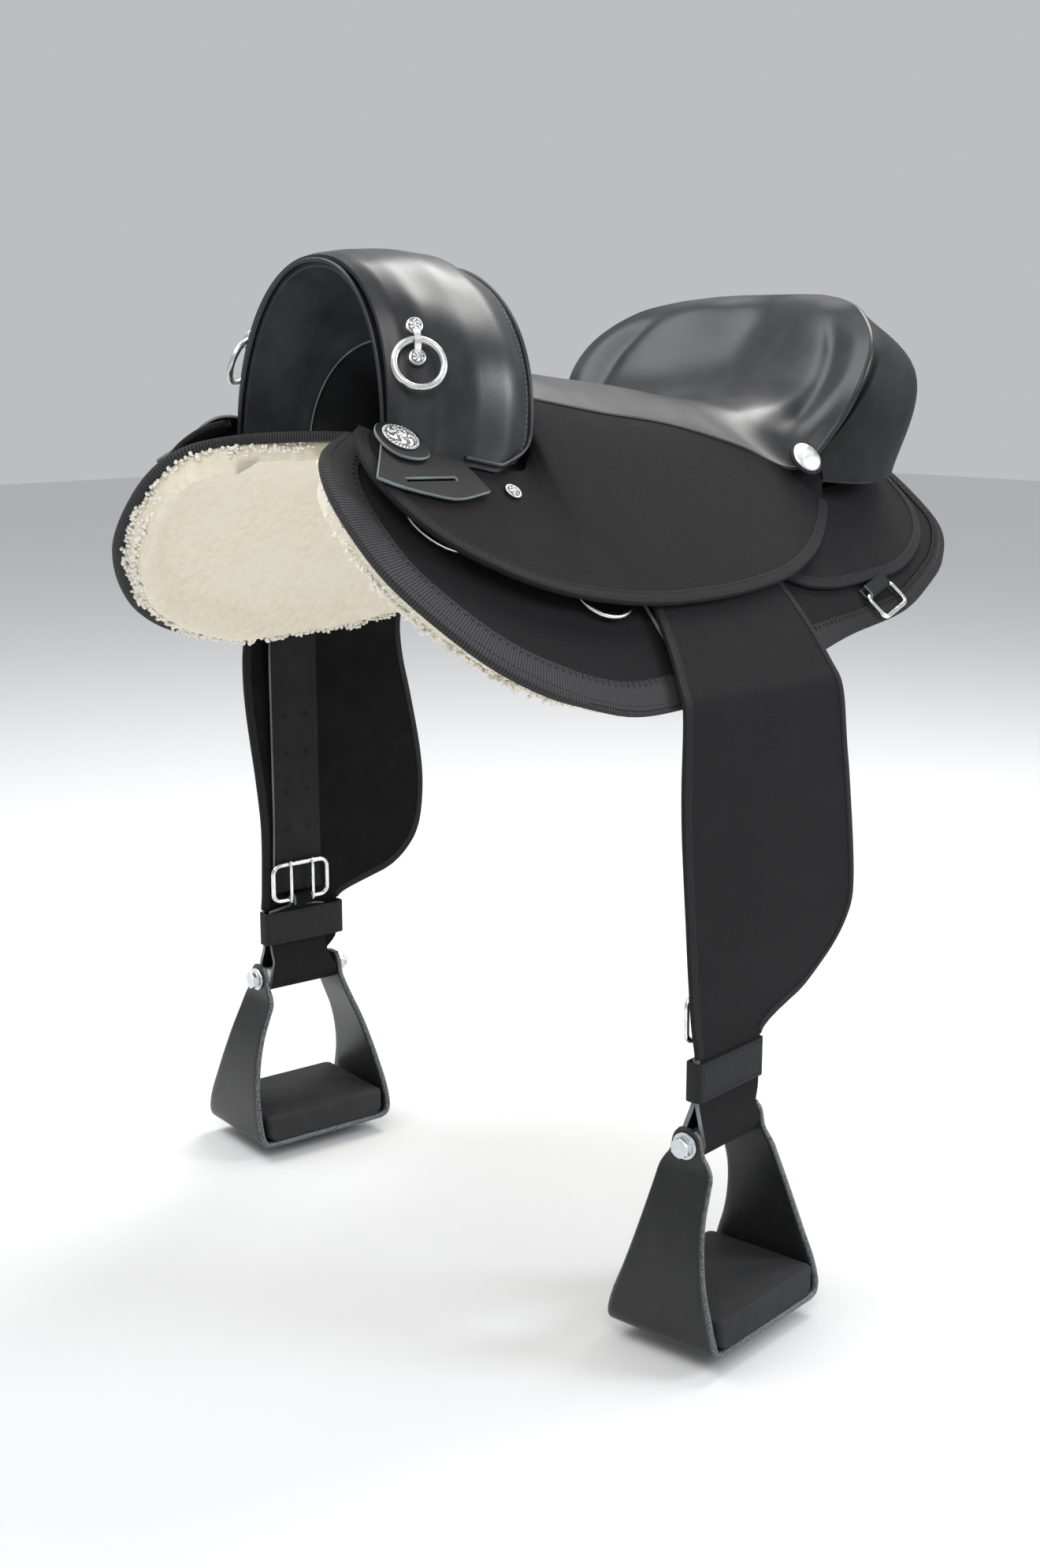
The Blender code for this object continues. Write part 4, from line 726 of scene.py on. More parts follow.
class Shape:
    """Points, faces, a place on the cloth for each point, and a material number for each face."""

    def __init__(self):
        self.points, self.faces, self.cloth, self.slots = [], [], [], []

    def add_points(self, points, cloth):
        start = len(self.points)
        self.points += [Vector(p) for p in points]
        self.cloth += cloth
        return start

    def face(self, corners, slot=0):
        self.faces.append(tuple(corners))
        self.slots.append(slot)

    def sheet(self, top, bottom, rim=0, under=0):
        """A closed solid from two facing grids. rim and under number the other materials."""
        rows, cols = len(top), len(top[0])
        across = lengths_along(top[rows // 2])
        along = lengths_along([line[cols // 2] for line in top])
        cloth = [(u, v) for v in along for u in across]
        a, b = [self.add_points([p for line in grid for p in line], cloth) for grid in (top, bottom)]
        for cell in grid_faces(rows, cols):
            self.face([a + k for k in cell])
            self.face([b + cell[k] for k in (0, 3, 2, 1)], under)
        border = list(range(cols)) + [i * cols + cols - 1 for i in range(1, rows)]
        border += [(rows - 1) * cols + j for j in range(cols - 2, -1, -1)]
        border += [i * cols for i in range(rows - 2, 0, -1)]
        for k, n in zip(border, border[1:] + border[:1]):
            self.face((a + k, a + n, b + n, b + k), rim)
        return self

    def skin(self, loops, closed=False, slot=0):
        """Skin a row of equal closed loops. Open rows get flat caps."""
        count = len(loops[0])
        cloth = []
        for loop, v in zip(loops, lengths_along([loop[0] for loop in loops])):
            cloth += [(u, v) for u in lengths_along(loop)]
        a = self.add_points([p for loop in loops for p in loop], cloth)
        rings = [range(a + i * count, a + (i + 1) * count) for i in range(len(loops))]
        for one, two in zip(rings, rings[1:] + (rings[:1] if closed else [])):
            for k in range(count):
                n = (k + 1) % count
                self.face((one[k], one[n], two[n], two[k]), slot)
        if not closed:
            self.face(rings[0][::-1], slot)
            self.face(rings[-1], slot)
        return self

    def tube(self, path, radius, sides, closed=False, slot=0):
        """A round bar along a path. The radius may be a list."""
        loops, guide = [], None
        for i, p in enumerate(path):
            behind, ahead = beside(path, i, closed)
            tangent = (ahead - behind).normalized()
            if guide is None:
                guide = tangent.orthogonal().normalized()
            guide = (guide - tangent * guide.dot(tangent)).normalized()
            other = tangent.cross(guide)
            size = radius[i] if isinstance(radius, list) else radius
            loops.append([p + (guide * c + other * s) * size for c, s in spins(sides)])
        return self.skin(loops, closed, slot)

    def moved(self, change):
        self.points = [change(p) for p in self.points]
        return self


def add_piece(name, shape, mats, replaced=None, body="saddle", side=0, sharp=42.0):
    """Make a shape into a piece that rides on a body. A side of -1 mirrors it."""
    mirror = side < 0
    tail = {1: "_left", -1: "_right", 0: ""}[side]
    mesh = bpy.data.meshes.new(name + tail)
    points = [mirrored(p) for p in shape.points] if mirror else shape.points
    faces = [f[::-1] for f in shape.faces] if mirror else shape.faces
    mesh.from_pydata([tuple(p) for p in points], [], faces)
    layer = mesh.uv_layers.new(name="Cloth")
    spots = [0] * len(mesh.loops)
    mesh.loops.foreach_get("vertex_index", spots)
    layer.data.foreach_set("uv", [c for v in spots for c in shape.cloth[v]])
    for mat in mats if isinstance(mats, list) else [mats]:
        mesh.materials.append(mat)
    mesh.polygons.foreach_set("material_index", shape.slots)
    mesh.shade_smooth()
    mesh.set_sharp_from_angle(angle=math.radians(sharp))
    obj = bpy.data.objects.new(name + tail, mesh)
    bpy.context.scene.collection.objects.link(obj)
    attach(obj, body + (tail if body != "saddle" else ""))
    if replaced:
        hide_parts(replaced + tail)
    return obj


def add_both(name, shape, mats, replaced=None, body="saddle", sharp=42.0):
    """The left piece and its mirror image."""
    return [add_piece(name, shape, mats, replaced, body, side, sharp) for side in (1, -1)]


# Bindings, seams and stitches that follow an edge
def tree_of(grid):
    return BVHTree.FromPolygons([p for line in grid for p in line], grid_faces(len(grid), len(grid[0])))


def value_at(value, p):
    """A plain value, or what a function gives at the point."""
    return value(p) if callable(value) else value


def inset_line(frames, skin, distance, height):
    """Points on a skin at a distance in from its edge, raised by a height. Both may depend on the point."""
    line = []
    for p, out, normal in frames:
        spot, skin_normal, _, _ = skin.find_nearest(p - out * value_at(distance, p))
        line.append(spot + (facing(skin_normal, normal) + normal).normalized() * value_at(height, p))
    return line


class Edge:
    """An edge of a panel's top grid, with the two skins and (point, outward, normal) frames along it."""

    def __init__(self, top, under, path, spacing=0.004):
        self.top, self.under = tree_of(top), tree_of(under)
        path = resample(path, spacing)
        raw, agree = [], 0.0
        for i, p in enumerate(path):
            behind, ahead = beside(path, i)
            normal = self.top.find_nearest(p)[1]
            if raw:
                normal = facing(normal, raw[-1][1])
            agree += normal.dot(p - self.under.find_nearest(p)[0])
            out = (ahead - behind).normalized().cross(normal).normalized()
            misses = [self.top.find_nearest(p + out * step)[3] for step in (-0.004, 0.004)]
            raw.append((-out if misses[0] > misses[1] else out, normal))
        turn = -1 if agree < 0 else 1
        self.frames = []
        for i, p in enumerate(path):
            near = [raw[min(max(i + d, 0), len(raw) - 1)] for d in (-2, -1, 0, 1, 2)]
            out, normal = [sum((pair[k] for pair in near), Vector()).normalized() for k in (0, 1)]
            self.frames.append((p, out, normal * turn))

    def line(self, distance, height):
        return inset_line(self.frames, self.top, distance, height)

    def binding(self, thickness, width, cover, steps=3, under_width=None):
        """A folded tape over the edge: top leg, round nose and under leg."""
        least = 0.0012
        lines = []
        for k in range(steps + 1):
            lines.append(self.line(lambda p: max(value_at(width, p) * (1 - k / steps), least), cover))
        halves = [thickness / 2 + value_at(cover, p) for p, _, _ in self.frames]
        for angle in (55, 20, -20, -55):
            c, s = math.cos(math.radians(angle)) * 0.9, math.sin(math.radians(angle))
            places = zip(self.frames, halves)
            lines.append([p - n * (thickness / 2) + (o * c + n * s) * half for (p, o, n), half in places])
        below = [(p - n * thickness, o, -n) for p, o, n in self.frames]
        for k in range(steps + 1):
            lines.append(inset_line(below, self.under, max((under_width or width) * k / steps, least), cover))
        return Shape().skin([list(loop) for loop in zip(*lines)])


def running_stitches(shape, path, length, gap, radius, slot=0):
    """Short separate stitches along a line."""
    beads = resample(path, length + gap)
    for a, b in zip(beads, beads[1:]):
        way = (b - a).normalized()
        start, stop = a + way * gap / 2, b - way * gap / 2
        inner = [start.lerp(stop, t) for t in (0.0, 0.18, 0.5, 0.82, 1.0)]
        shape.tube(inner, [radius * s for s in (0.45, 0.85, 1.0, 0.85, 0.45)], 5, slot=slot)
    return shape


def zigzag_stitches(shape, inner, outer, pitch, radius):
    """One thread that runs to and fro between two lines."""
    lines = inner, outer
    count = min(len(resample(line, pitch)) for line in lines)
    a, b = [resample(line, lengths_along(line)[-1] / count) for line in lines]
    return shape.tube([p if k % 2 else q for k, (p, q) in enumerate(zip(a, b))], radius, 4)


def rim_of(grid, sides):
    """Edge points of a grid along the named sides, in order: first, right, last, left."""
    parts = {
        "first": grid[0],
        "right": [line[-1] for line in grid],
        "last": grid[-1][::-1],
        "left": [line[0] for line in reversed(grid)],
    }
    path = []
    for side in sides:
        for p in parts[side]:
            if not path or (p - path[-1]).length > 1e-5:
                path.append(p)
    return path


def edge_trim(name, top, under, side, thickness, width=0.0085, cover=0.0006, body="saddle", seam_x=0.0):
    """Binding and a row of stitches along one side of a cordura panel. The stitches begin at seam_x."""
    edge = Edge(top, under, rim_of(top, [side]))
    add_both(name + "_binding", edge.binding(thickness, width, cover), EDGE_TAPE, body=body)
    line = [p for p in edge.line(width - 0.0016, cover + 0.0002) if p.x > seam_x]
    seam = running_stitches(Shape(), line, 0.0026, 0.0011, 0.0003)
    add_both(name + "_stitching", seam, DARK_THREAD, body=body)


# Skirts and fleece
def skirt_tape_width(p):
    return SKIRT_TAPE + (SKIRT_TAPE_REAR - SKIRT_TAPE) * smoothstep(p.y, *TAPE_FADE)


def skirt_tape_cover(p):
    """The tape lies flatter where the stirrup leather slides over it."""
    away = smoothstep(abs(p.y - LEATHER_Y), *TAPE_FLAT_ZONE)
    return TAPE_COVER_AT_LEATHER + (TAPE_COVER - TAPE_COVER_AT_LEATHER) * away


def build_skirts():
    rows, columns = 120, even(34)
    inner, outer = curve(SKIRT_CENTRE, rows), curve(SKIRT_OUTLINE, rows)
    top, under = draped_skins(inner, outer, columns, lambda u, row: 0.0, SKIRT_THICKNESS)
    add_both("skirt_panel", Shape().sheet(top, under), SKIRTING, "skirt")
    edge = Edge(top, under, rim_of(top, ("first", "right", "last")))
    tape = edge.binding(SKIRT_THICKNESS, skirt_tape_width, skirt_tape_cover, 9, SKIRT_TAPE_UNDER)
    add_both("skirt_binding", tape, TAPE)
    seam = Shape()
    on_panel = edge.line(lambda p: skirt_tape_width(p) + 0.001, lambda p: skirt_tape_cover(p) * 0.55)
    on_tape = edge.line(lambda p: skirt_tape_width(p) - 0.005, lambda p: skirt_tape_cover(p) * 1.2)
    zigzag_stitches(seam, on_panel, on_tape, 0.003, 0.00048)
    near_rim = edge.line(0.0045, lambda p: skirt_tape_cover(p) + 0.0001)
    running_stitches(seam, near_rim, 0.003, 0.0012, 0.00032)
    add_both("skirt_stitching", seam, DARK_THREAD)


def rounded_edge(distance):
    """How full the pile is at a distance from its edge."""
    return math.sqrt(max(1 - (1 - min(distance / PILE_EDGE_RADIUS, 1.0)) ** 2, 0.0))


def fleece_skins():
    """The fleece's top, against the skirt, and its face, which is puffed and curled at the edges."""
    rows, cols = 150, 66
    dense = (rows - 1) * 2 + 1 + 2 * FLEECE_END_ROWS
    kept = slice(FLEECE_END_ROWS, dense - FLEECE_END_ROWS, 2)
    top, face = [], []
    for row, (a, b) in enumerate(zip(curve(SKIRT_CENTRE, dense)[kept], curve(SKIRT_OUTLINE, dense)[kept])):
        width = (b - a).length
        start = (CHANNEL_HALF - CENTRE_GAP) / (b.x - a.x)
        share = 1.0 - FLEECE_INSET / width - start
        to_end = min(row, rows - 1 - row) * FLEECE_ROW_SPACING
        upper, lower = [], []
        for t in even(cols):
            left = (1 - t) ** 1.25
            p = a.lerp(b, start + share * (1 - left))
            to_rim, to_channel = left * share * width, (1 - left) * share * width
            crown = rounded_edge(to_rim) * rounded_edge(to_end) * rounded_edge(to_channel)
            puff = 0.2 + 0.45 * (1 - smoothstep(p.y, -0.22, 0.02))
            crown *= 1 + puff * band(to_rim, 0.002, 0.007, 0.01, 0.034)
            spot = on_back(p.x, p.y, FLEECE_ROOT - FLEECE_PILE * crown)
            curl = noise.noise(Vector((p.x, p.y, 0)) * 105) * 0.0034
            curl += noise.noise(Vector((p.x, p.y, 3)) * 52) * 0.0016
            curl *= 1 - smoothstep(min(to_rim, to_end, to_channel), 0.0, 0.016)
            rough = noise.fractal(spot * 95, 0.9, 2.1, 4) * 0.0007 + noise.noise(spot * 34) * 0.001
            spot += (b - a).normalized() * curl * t ** 4
            lower.append(spot + back_normal(p.x, p.y) * (rough + curl * 0.5))
            upper.append(on_back(p.x, p.y, -SKIRT_THICKNESS - FLEECE_TOP_GAP))
        top.append(upper)
        face.append(lower)
    return top, face


def tuft_roots(top, face):
    """(point, way out, number of tufts) along the fleece's edges."""
    roots = []
    for upper, lower in zip(top, face):
        shaggy = smoothstep(lower[-1].x, 0.11, 0.17)
        for k, few, many in TUFT_COLUMNS:
            roots.append((lower[-k], upper[-1] - upper[-2], round(few + (many - few) * shaggy)))
    for row, within in ((0, 1), (-1, -2)):
        roots += [(p, p - q, TUFTS_AT_END) for p, q in zip(face[row], face[within])]
    return roots


def add_tuft(shape, root, out):
    """A small tip of wool. Noise and the random draws give its place, lean and length."""
    foot = root - out * RANDOM.uniform(-0.0006, 0.003)
    foot += Vector([RANDOM.uniform(-0.003, 0.003) for _ in range(3)])
    clump = noise.noise_vector(foot * 105)
    normal = back_normal(foot.x, foot.y)
    lean = (out * (0.45 + 0.5 * clump.x) - normal * (0.75 + 0.4 * clump.y) + clump * 0.5).normalized()
    front = 1 - smoothstep(foot.y, -0.2, 0.05)
    length = (0.003 + 0.001 * front) * (0.6 + 0.35 * RANDOM.random() + 1.3 * max(clump.z, -0.25))
    side = lean.orthogonal().normalized()
    other = lean.cross(side)
    tip = foot + (lean + clump * 0.5).normalized() * length
    loops = []
    for centre, radius in ((foot, 0.00165), (foot + lean * length * 0.5, 0.0017), (tip, 0.0009)):
        loops.append([centre + (side * c + other * s) * radius for c, s in spins(4)])
    shape.skin(loops)


def build_fleece():
    top, face = fleece_skins()
    tufts = Shape()
    for root, out, count in tuft_roots(top, face):
        for _ in range(count):
            add_tuft(tufts, root, out.normalized())
    for piece in add_both("fleece_pile", Shape().sheet(top, face), PILE, "fleece", sharp=180):
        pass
    # The tufts use the lightened copy of the pile: painted light against their own shade.
    add_both("fleece_tufts", tufts, LIGHTENED_TIPS, sharp=180)


# Swell
def arch_point(half_width, base, top, angle):
    c, s = math.cos(angle), max(math.sin(angle), 0.0)
    x = math.copysign(abs(c) ** (2 / ARCH_POWER), c) * half_width
    return x, base + (top - base) * s ** (2 / ARCH_POWER)


def hood_point(u, angle):
    """A point of the swell's skin, from the lip at 0 to the welt at 1."""
    half_width = ramp(HOOD_HALF_WIDTH, u)
    s = max(math.sin(angle), 0.0)
    front = LIP_Y + LIP_LEAN * s
    rear = WELT_Y + WELT_LEAN * s**0.7 - FOOT_ROUNDING * (1.0 - smoothstep(s, 0.0, 0.12)) ** 2
    base = height_over_back(half_width, LIP_Y + (WELT_Y - LIP_Y) * u, JOCKEY_TOP + 0.0012)
    x, z = arch_point(half_width, base, ramp(HOOD_TOP, u), angle)
    return Vector((x, front + (rear - front) * u, z))


def gullet_point(w, angle, outset):
    """A point of the gullet's lining, from the lip at 0 to its rear at 1."""
    half_width = ramp(GULLET_HALF_WIDTH, w) + outset
    front = LIP_Y + LIP_LEAN * max(math.sin(angle), 0.0)
    y = front + (GULLET_REAR - front) * w
    base = height_over_back(half_width, y, 0.0) + 0.0008
    x, z = arch_point(half_width, base, ramp(GULLET_TOP, w) + outset, angle)
    return Vector((x, y, z))


def swell_grid(angles):
    """The leather's outer skin: the hood with its dents, then the wall that turns in behind the welt."""
    along, wall_rows = 30, 10
    grid = [[hood_point(k / along, a) for a in angles] for k in range(along + 1)]
    welt = grid[-1]
    base, top = welt[0].z, max(p.z for p in welt)
    wall = []
    for scale, back in REAR_WALL_STEPS:
        foot = max(height_over_back(welt[0].x * scale, WELT_Y + back, BAR_TOP) + 0.002, base)
        rise = (base + (top - base) * scale - foot) / (top - base)
        wall.append([Vector((p.x * scale, p.y + back, foot + (p.z - base) * rise)) for p in welt])
    columns = [curve(column, wall_rows) for column in zip(welt, *wall)]
    grid += [list(line) for line in list(zip(*columns))[1:]]
    normals = grid_normals(grid)
    for i, line in enumerate(grid[:along + 1]):
        fade = min(i / 6, 1.0) * min((along - i) / 5, 1.0)
        for j, p in enumerate(line):
            low = 1.0 - smoothstep(p.z, 0.02, 0.11)
            dent = noise.noise(Vector((p.x * 26, p.y * 26, p.z * 14))) * (0.0016 + 0.002 * low)
            height = math.exp(-((p.z - BELLY_Z) / BELLY_SPREAD) ** 2)
            belly = BELLY_RISE * height * smoothstep(i / along, 0.25, 0.6)
            line[j] = p + facing(normals[i][j], p - Vector((0, p.y, 0.02))) * (dent + belly) * fade
    return grid


def build_swell():
    around = 96
    angles = [math.pi * k / around for k in range(around + 1)]
    grid = swell_grid(angles)
    shell = offset_grid(grid, -SHELL_THICKNESS)
    for line in (0, -1):
        for j, p in enumerate(grid[line]):
            shell[line][j].y = p.y
    add_piece("swell_leather", Shape().sheet(grid, shell), BLACK, "swell_cover")
    foot = [hood_point(u, 0.02) + Vector((0.0006, 0, 0.0012)) for u in (0.45, 0.55, 0.65, 0.75, 0.84)]
    foot += [hood_point(0.93, 0.028), hood_point(0.985, 0.055)]
    arch = [hood_point(1.0, a) for a in angles[3:-3:3]]
    line = curve(foot + arch + [mirrored(p) for p in reversed(foot)], 220)
    line = [p + (p - Vector((0, WELT_Y - 0.01, 0.06))).normalized() * 0.0006 for p in line]
    add_piece("swell_piping", Shape().tube(resample(line, 0.003), 0.0019, 10), BLACK)
    tree = tree_of(grid)
    lifted = []
    for p in resample([hood_point(1.0 - WELT_SEAM_GAP / 0.115, a) for a in angles], 0.002):
        spot, normal, _, _ = tree.find_nearest(p)
        lifted.append(spot + facing(normal, spot - Vector((0, spot.y, 0.04))) * 0.0001)
    seam = running_stitches(Shape(), lifted, 0.003, 0.0014, 0.00036)
    add_piece("swell_stitching", seam, GREY_THREAD)
    build_gullet(angles)


def build_gullet(angles):
    """The lining, the roll along its lip and the pale-edged flap inside."""
    shell, skin = [
        [[gullet_point(w, a, outset) for a in angles] for w in even(40)] for outset in (LINING_THICKNESS, 0.0)
    ]
    add_piece("gullet_leather", Shape().sheet(shell, skin), GULLET, "gullet_lining")
    ahead = Vector((0, -LIP_ROLL_RADIUS - 0.0006, 0))
    lip = [gullet_point(0.0, a, LINING_THICKNESS + 0.001) + ahead for a in angles]
    for end in (0, -1):
        lip[end].z += 1.6 * LIP_ROLL_RADIUS
    roll = Shape().tube(resample(lip, 0.003), LIP_ROLL_RADIUS, 12)
    add_piece("lip_roll", roll, BLACK, "gullet_welt")
    skins = []
    for inset, edge_inset in FLAP_INSETS:
        grid = []
        for a in angles:
            depth = FLAP_FOOT + FLAP_RISE * max(math.sin(a), 0.0) ** 1.5
            spread = [depth * share for share in even(29)]
            grid.append([
                gullet_point(w, a, -inset - edge_inset * smoothstep(w, depth * 0.8, depth)) for w in spread
            ])
        skins.append(grid)
    flap = Shape().sheet(*skins)
    flap.tube([a[-1].lerp(b[-1], 0.5) for a, b in zip(*skins)], 0.0012, 8, slot=1)
    add_piece("gullet_flap", flap, [LINING, PALE_EDGE])


# Seat, jockeys and cantle
def crease(line):
    """Pull the wing of the seat into a valley and a ridge along the cantle's side."""
    middle = len(line) // 2
    for j, p in enumerate(line):
        share = abs(j - middle) / middle
        strength = band(p.y, 0.19, 0.215, 0.262, 0.292)
        valley = math.exp(-((share - 0.77) / 0.06) ** 2)
        ridge = math.exp(-((share - 0.91) / 0.06) ** 2)
        way = Vector((-math.copysign(0.45, j - middle), -0.5, 0.75))
        line[j] = p + way * strength * (0.0022 * ridge - 0.0052 * valley)


def build_seat():
    rows, cols = 110, 73
    centre, middle, edge = [curve(line, rows) for line in zip(*SEAT_LINES)]
    top = [curve(both_halves([e, m, c]), cols) for c, m, e in zip(centre, middle, edge)]
    for line in top:
        crease(line)
    bottom = offset_grid(top, -SEAT_THICKNESS)
    seat = add_piece("seat_leather", Shape().sheet(top, bottom), BLACK, "seat_panel")
    build_seat_sides(top)
    return top, bottom


def build_seat_sides(top):
    """The piped seam down the seat's edge, and the leather that turns under it beside the cantle."""
    for side, name in ((0, "seat_seam_left"), (-1, "seat_seam_right")):
        edge = [row[side] for row in top]
        seam = [p + Vector((math.copysign(0.0006, p.x), 0, -0.0004)) for p in edge if p.y < SIDE_END]
        add_piece(name, Shape().tube(resample(seam, 0.003), 0.0017, 10), BLACK)
    upper, lower = [], []
    for p in [row[0] for row in top]:
        if SIDE_START < p.y < WALL_END:
            drop = p - Vector((0.003, 0, 0.002))
            foot_x = p.x + 0.004
            low = Vector((foot_x, p.y + 0.002, height_over_back(foot_x, p.y, JOCKEY_TOP - 0.004)))
            low.z = min(low.z, drop.z - 0.001)
            line = curve([drop, drop.lerp(low, 0.5) + Vector((0.0025, 0, 0)), low], 9)
            upper.append(line)
            lower.append([q - Vector((0.0035, 0, 0)) for q in line])
    add_both("seat_side", Shape().sheet(upper, lower), WOVEN)


def build_jockeys(seat_top):
    rows, columns = 120, even(30)
    start = [Vector((x, y, height_over_back(x, y, JOCKEY_TOP - 0.0015))) for x, y in JOCKEY_TUCK]
    edge = [row[0] for row in seat_top if row[0].y < JOCKEY_SEAM_END]
    seam = [p + Vector((0.0018, -0.0002, -0.0015)) for p in edge]
    feet = [footprint(p) for p in curve(start + JOCKEY_WALL + seam[::8], rows)]
    inner = [Vector((x, y, 0)) for x, y, _ in feet]
    outer = curve(plan_feet(JOCKEY_OUTLINE, JOCKEY_EDGE_LIFT), rows)

    def top_lift(u, row):
        return JOCKEY_TOP + (feet[row][2] - JOCKEY_TOP) * (1 - u) ** 1.7

    top, under = draped_skins(inner, outer, columns, top_lift, JOCKEY_THICKNESS)
    add_both("jockey_panel", Shape().sheet(top, under), WOVEN, "jockey")
    edge_trim("jockey", top, under, "right", JOCKEY_THICKNESS)


def build_rear_jockeys():
    rows, columns = 90, even(24)
    outer = curve(plan_feet(REAR_JOCKEY_OUTLINE, REAR_JOCKEY_THICKNESS), rows)
    inner = curve(REAR_JOCKEY_INNER, rows)

    def top_lift(u, row):
        inside = 0.0126 + 0.0034 * smoothstep(inner[row].y, 0.215, 0.27)
        return inside + (0.005 - inside) * smoothstep(u, 0.1, 0.9)

    top, under = draped_skins(inner, outer, columns, top_lift, REAR_JOCKEY_THICKNESS)
    add_both("rear_jockey_panel", Shape().sheet(top, under), WOVEN, "rear_jockey")
    edge_trim("rear_jockey", top, under, "right", REAR_JOCKEY_THICKNESS)


def build_cantle(seat_top, seat_bottom):
    """The cover behind the cantle, the roll round its rim and the roll along its foot."""
    rows, columns = 70, 26
    last = len(seat_top) - 1
    chain = [(i, 0, i, 1) for i in range(CANTLE_FIRST_ROW, last + 1)]
    chain += [(last, j, last - 1, j) for j in range(1, len(seat_top[0]) // 2 + 1)]
    rim, inward, roll = [], [], []
    for i, j, k, m in chain:
        edge, under = seat_top[i][j], seat_bottom[i][j]
        rim.append(under + (under - edge).normalized() * 0.0015)
        inward.append((seat_bottom[k][m] - under).normalized())
        roll.append((edge + under) / 2)
    rim, inward = curve(rim, rows), curve(inward, rows)
    bulge, base = [curve(line, rows) for line in zip(*CANTLE_LINES)]
    half = [curve(column, columns) for column in zip(rim, bulge, base)]
    grid = half + [[mirrored(p) for p in line] for line in reversed(half[:-1])]
    inside = offset_grid(grid, -SHELL_THICKNESS)
    for row, (start, way) in enumerate(zip(rim, inward)):
        corner = start + way * SHELL_THICKNESS
        inside[row][0] = corner
        inside[-1 - row][0] = mirrored(corner)
    cover = add_piece("cantle_leather", Shape().sheet(grid, inside), SUEDE, "cantle_back")
    piping = Shape().tube(resample(both_halves(roll), 0.003), 0.0032, 12)
    add_piece("cantle_piping", piping, BLACK)
    trim = Shape().tube(resample(both_halves(base), 0.003), CANTLE_FOOT_RADIUS, 10)
    foot = [line[-1] for line in half]
    for path in (foot, [mirrored(p) for p in foot]):
        line = Edge(grid, inside, path).line(0.011, 0.0002)
        running_stitches(trim, line, 0.0032, 0.0014, 0.00034, slot=1)
    add_piece("cantle_foot", trim, [BLACK, DARK_THREAD])


# Hanging leathers
def turned(point, fraction):
    """Turn a point about the leather's upright line by a fraction of its twist."""
    a = math.radians(TWIST_DEG) * fraction
    dx, dy = point.x - LEATHER_X, point.y - LEATHER_Y
    x = LEATHER_X + dx * math.cos(a) - dy * math.sin(a)
    return Vector((x, LEATHER_Y + dx * math.sin(a) + dy * math.cos(a), point.z))


def fully_turned(point):
    return turned(point, 1.0)


def hang(point):
    """The leathers' own twist at each height."""
    return turned(point, smoothstep(-point.z, -TWIST_TOP, -TWIST_END))


def ribbon(path, edges, thickness, cols):
    """The two skins of a strip along a path in the xz plane. edges gives its two y places at each point."""
    top, bottom = [], []
    for i, p in enumerate(path):
        behind, ahead = beside(path, i)
        along = ahead - behind
        side = Vector((-along.z, 0, along.x)).normalized() * thickness / 2
        marks = [edges[i][0] + (edges[i][1] - edges[i][0]) * k / cols for k in range(cols + 1)]
        top.append([Vector((p.x, y, p.z)) + side for y in marks])
        bottom.append([Vector((p.x, y, p.z)) - side for y in marks])
    return top, bottom


def settled(point):
    """Follow the back's crown along y on the sloping part."""
    share = (1.0 - smoothstep(-point.z, 0.13, 0.21)) if point.z > -0.23 else 0.0
    rise = back_height(0.2, point.y) - back_height(0.2, LEATHER_Y)
    return Vector((point.x, point.y, point.z + rise * share))


def hanging_path(feet, lift, drop):
    """A leather's middle line in the xz plane: down the slope of the back, then down the drop."""
    slope = [on_back(x, LEATHER_Y, lift) for x in feet]
    return curve([Vector((p.x, 0, p.z)) for p in slope] + [Vector((x, 0, z)) for x, z in drop], 110)


def hanging_skins(path, edges, thickness, cols):
    skins = ribbon(path, edges, thickness, cols)
    return [[[hang(settled(p)) for p in line] for line in grid] for grid in skins]


def build_fenders():
    path = hanging_path(SLOPE_FEET[:-1], FENDER_LIFT, FENDER_DROP)
    outline = curve(FENDER_EDGES, 220)
    fronts, rears = [(p.x, p.y) for p in outline], [(p.x, p.z) for p in outline]
    edges = [(ramp(fronts, -p.z), ramp(rears, -p.z)) for p in path]
    loop = arc((LEATHER_X, BOLT_Z), LOOP_RADIUS, 5, -185, 25)
    edges += [edges[-1]] * len(loop)
    billet = curve([(x, 0, z) for x, z in BILLET_PATH], 8)
    edges += [BILLET_EDGES] * len(billet)
    tab = [Vector((x, 0, z)) for x, z in TAB_START]
    bar = (BUCKLE_CENTRE[0], BUCKLE_CENTRE[1] - BUCKLE_HEIGHT / 2)
    tab += arc(bar, BUCKLE_WIRE + 0.0003 + FENDER_THICKNESS / 2, 0, 180, 10)
    tab += [Vector((tab[-1].x, 0, TAB_END_Z))]
    edges += [(LEATHER_Y - TAB_HALF_WIDTH, LEATHER_Y + TAB_HALF_WIDTH)] * len(tab)
    top, bottom = hanging_skins(path + loop + billet + tab, edges, FENDER_THICKNESS, 24)
    shape = Shape().sheet(top, bottom, rim=2, under=1)
    add_both("fender_panel", shape, [WOVEN, FLESH, CUT_EDGE], "fender", "leathers")
    blade = sum(p.z > BLADE_END_Z for p in path)
    skins = top[:blade], bottom[:blade]
    for name, side in (("fender_rear", "right"), ("fender_front", "left")):
        edge_trim(name, *skins, side, FENDER_THICKNESS, 0.0055, 0.0005, "leathers", FENDER_SEAM_X)


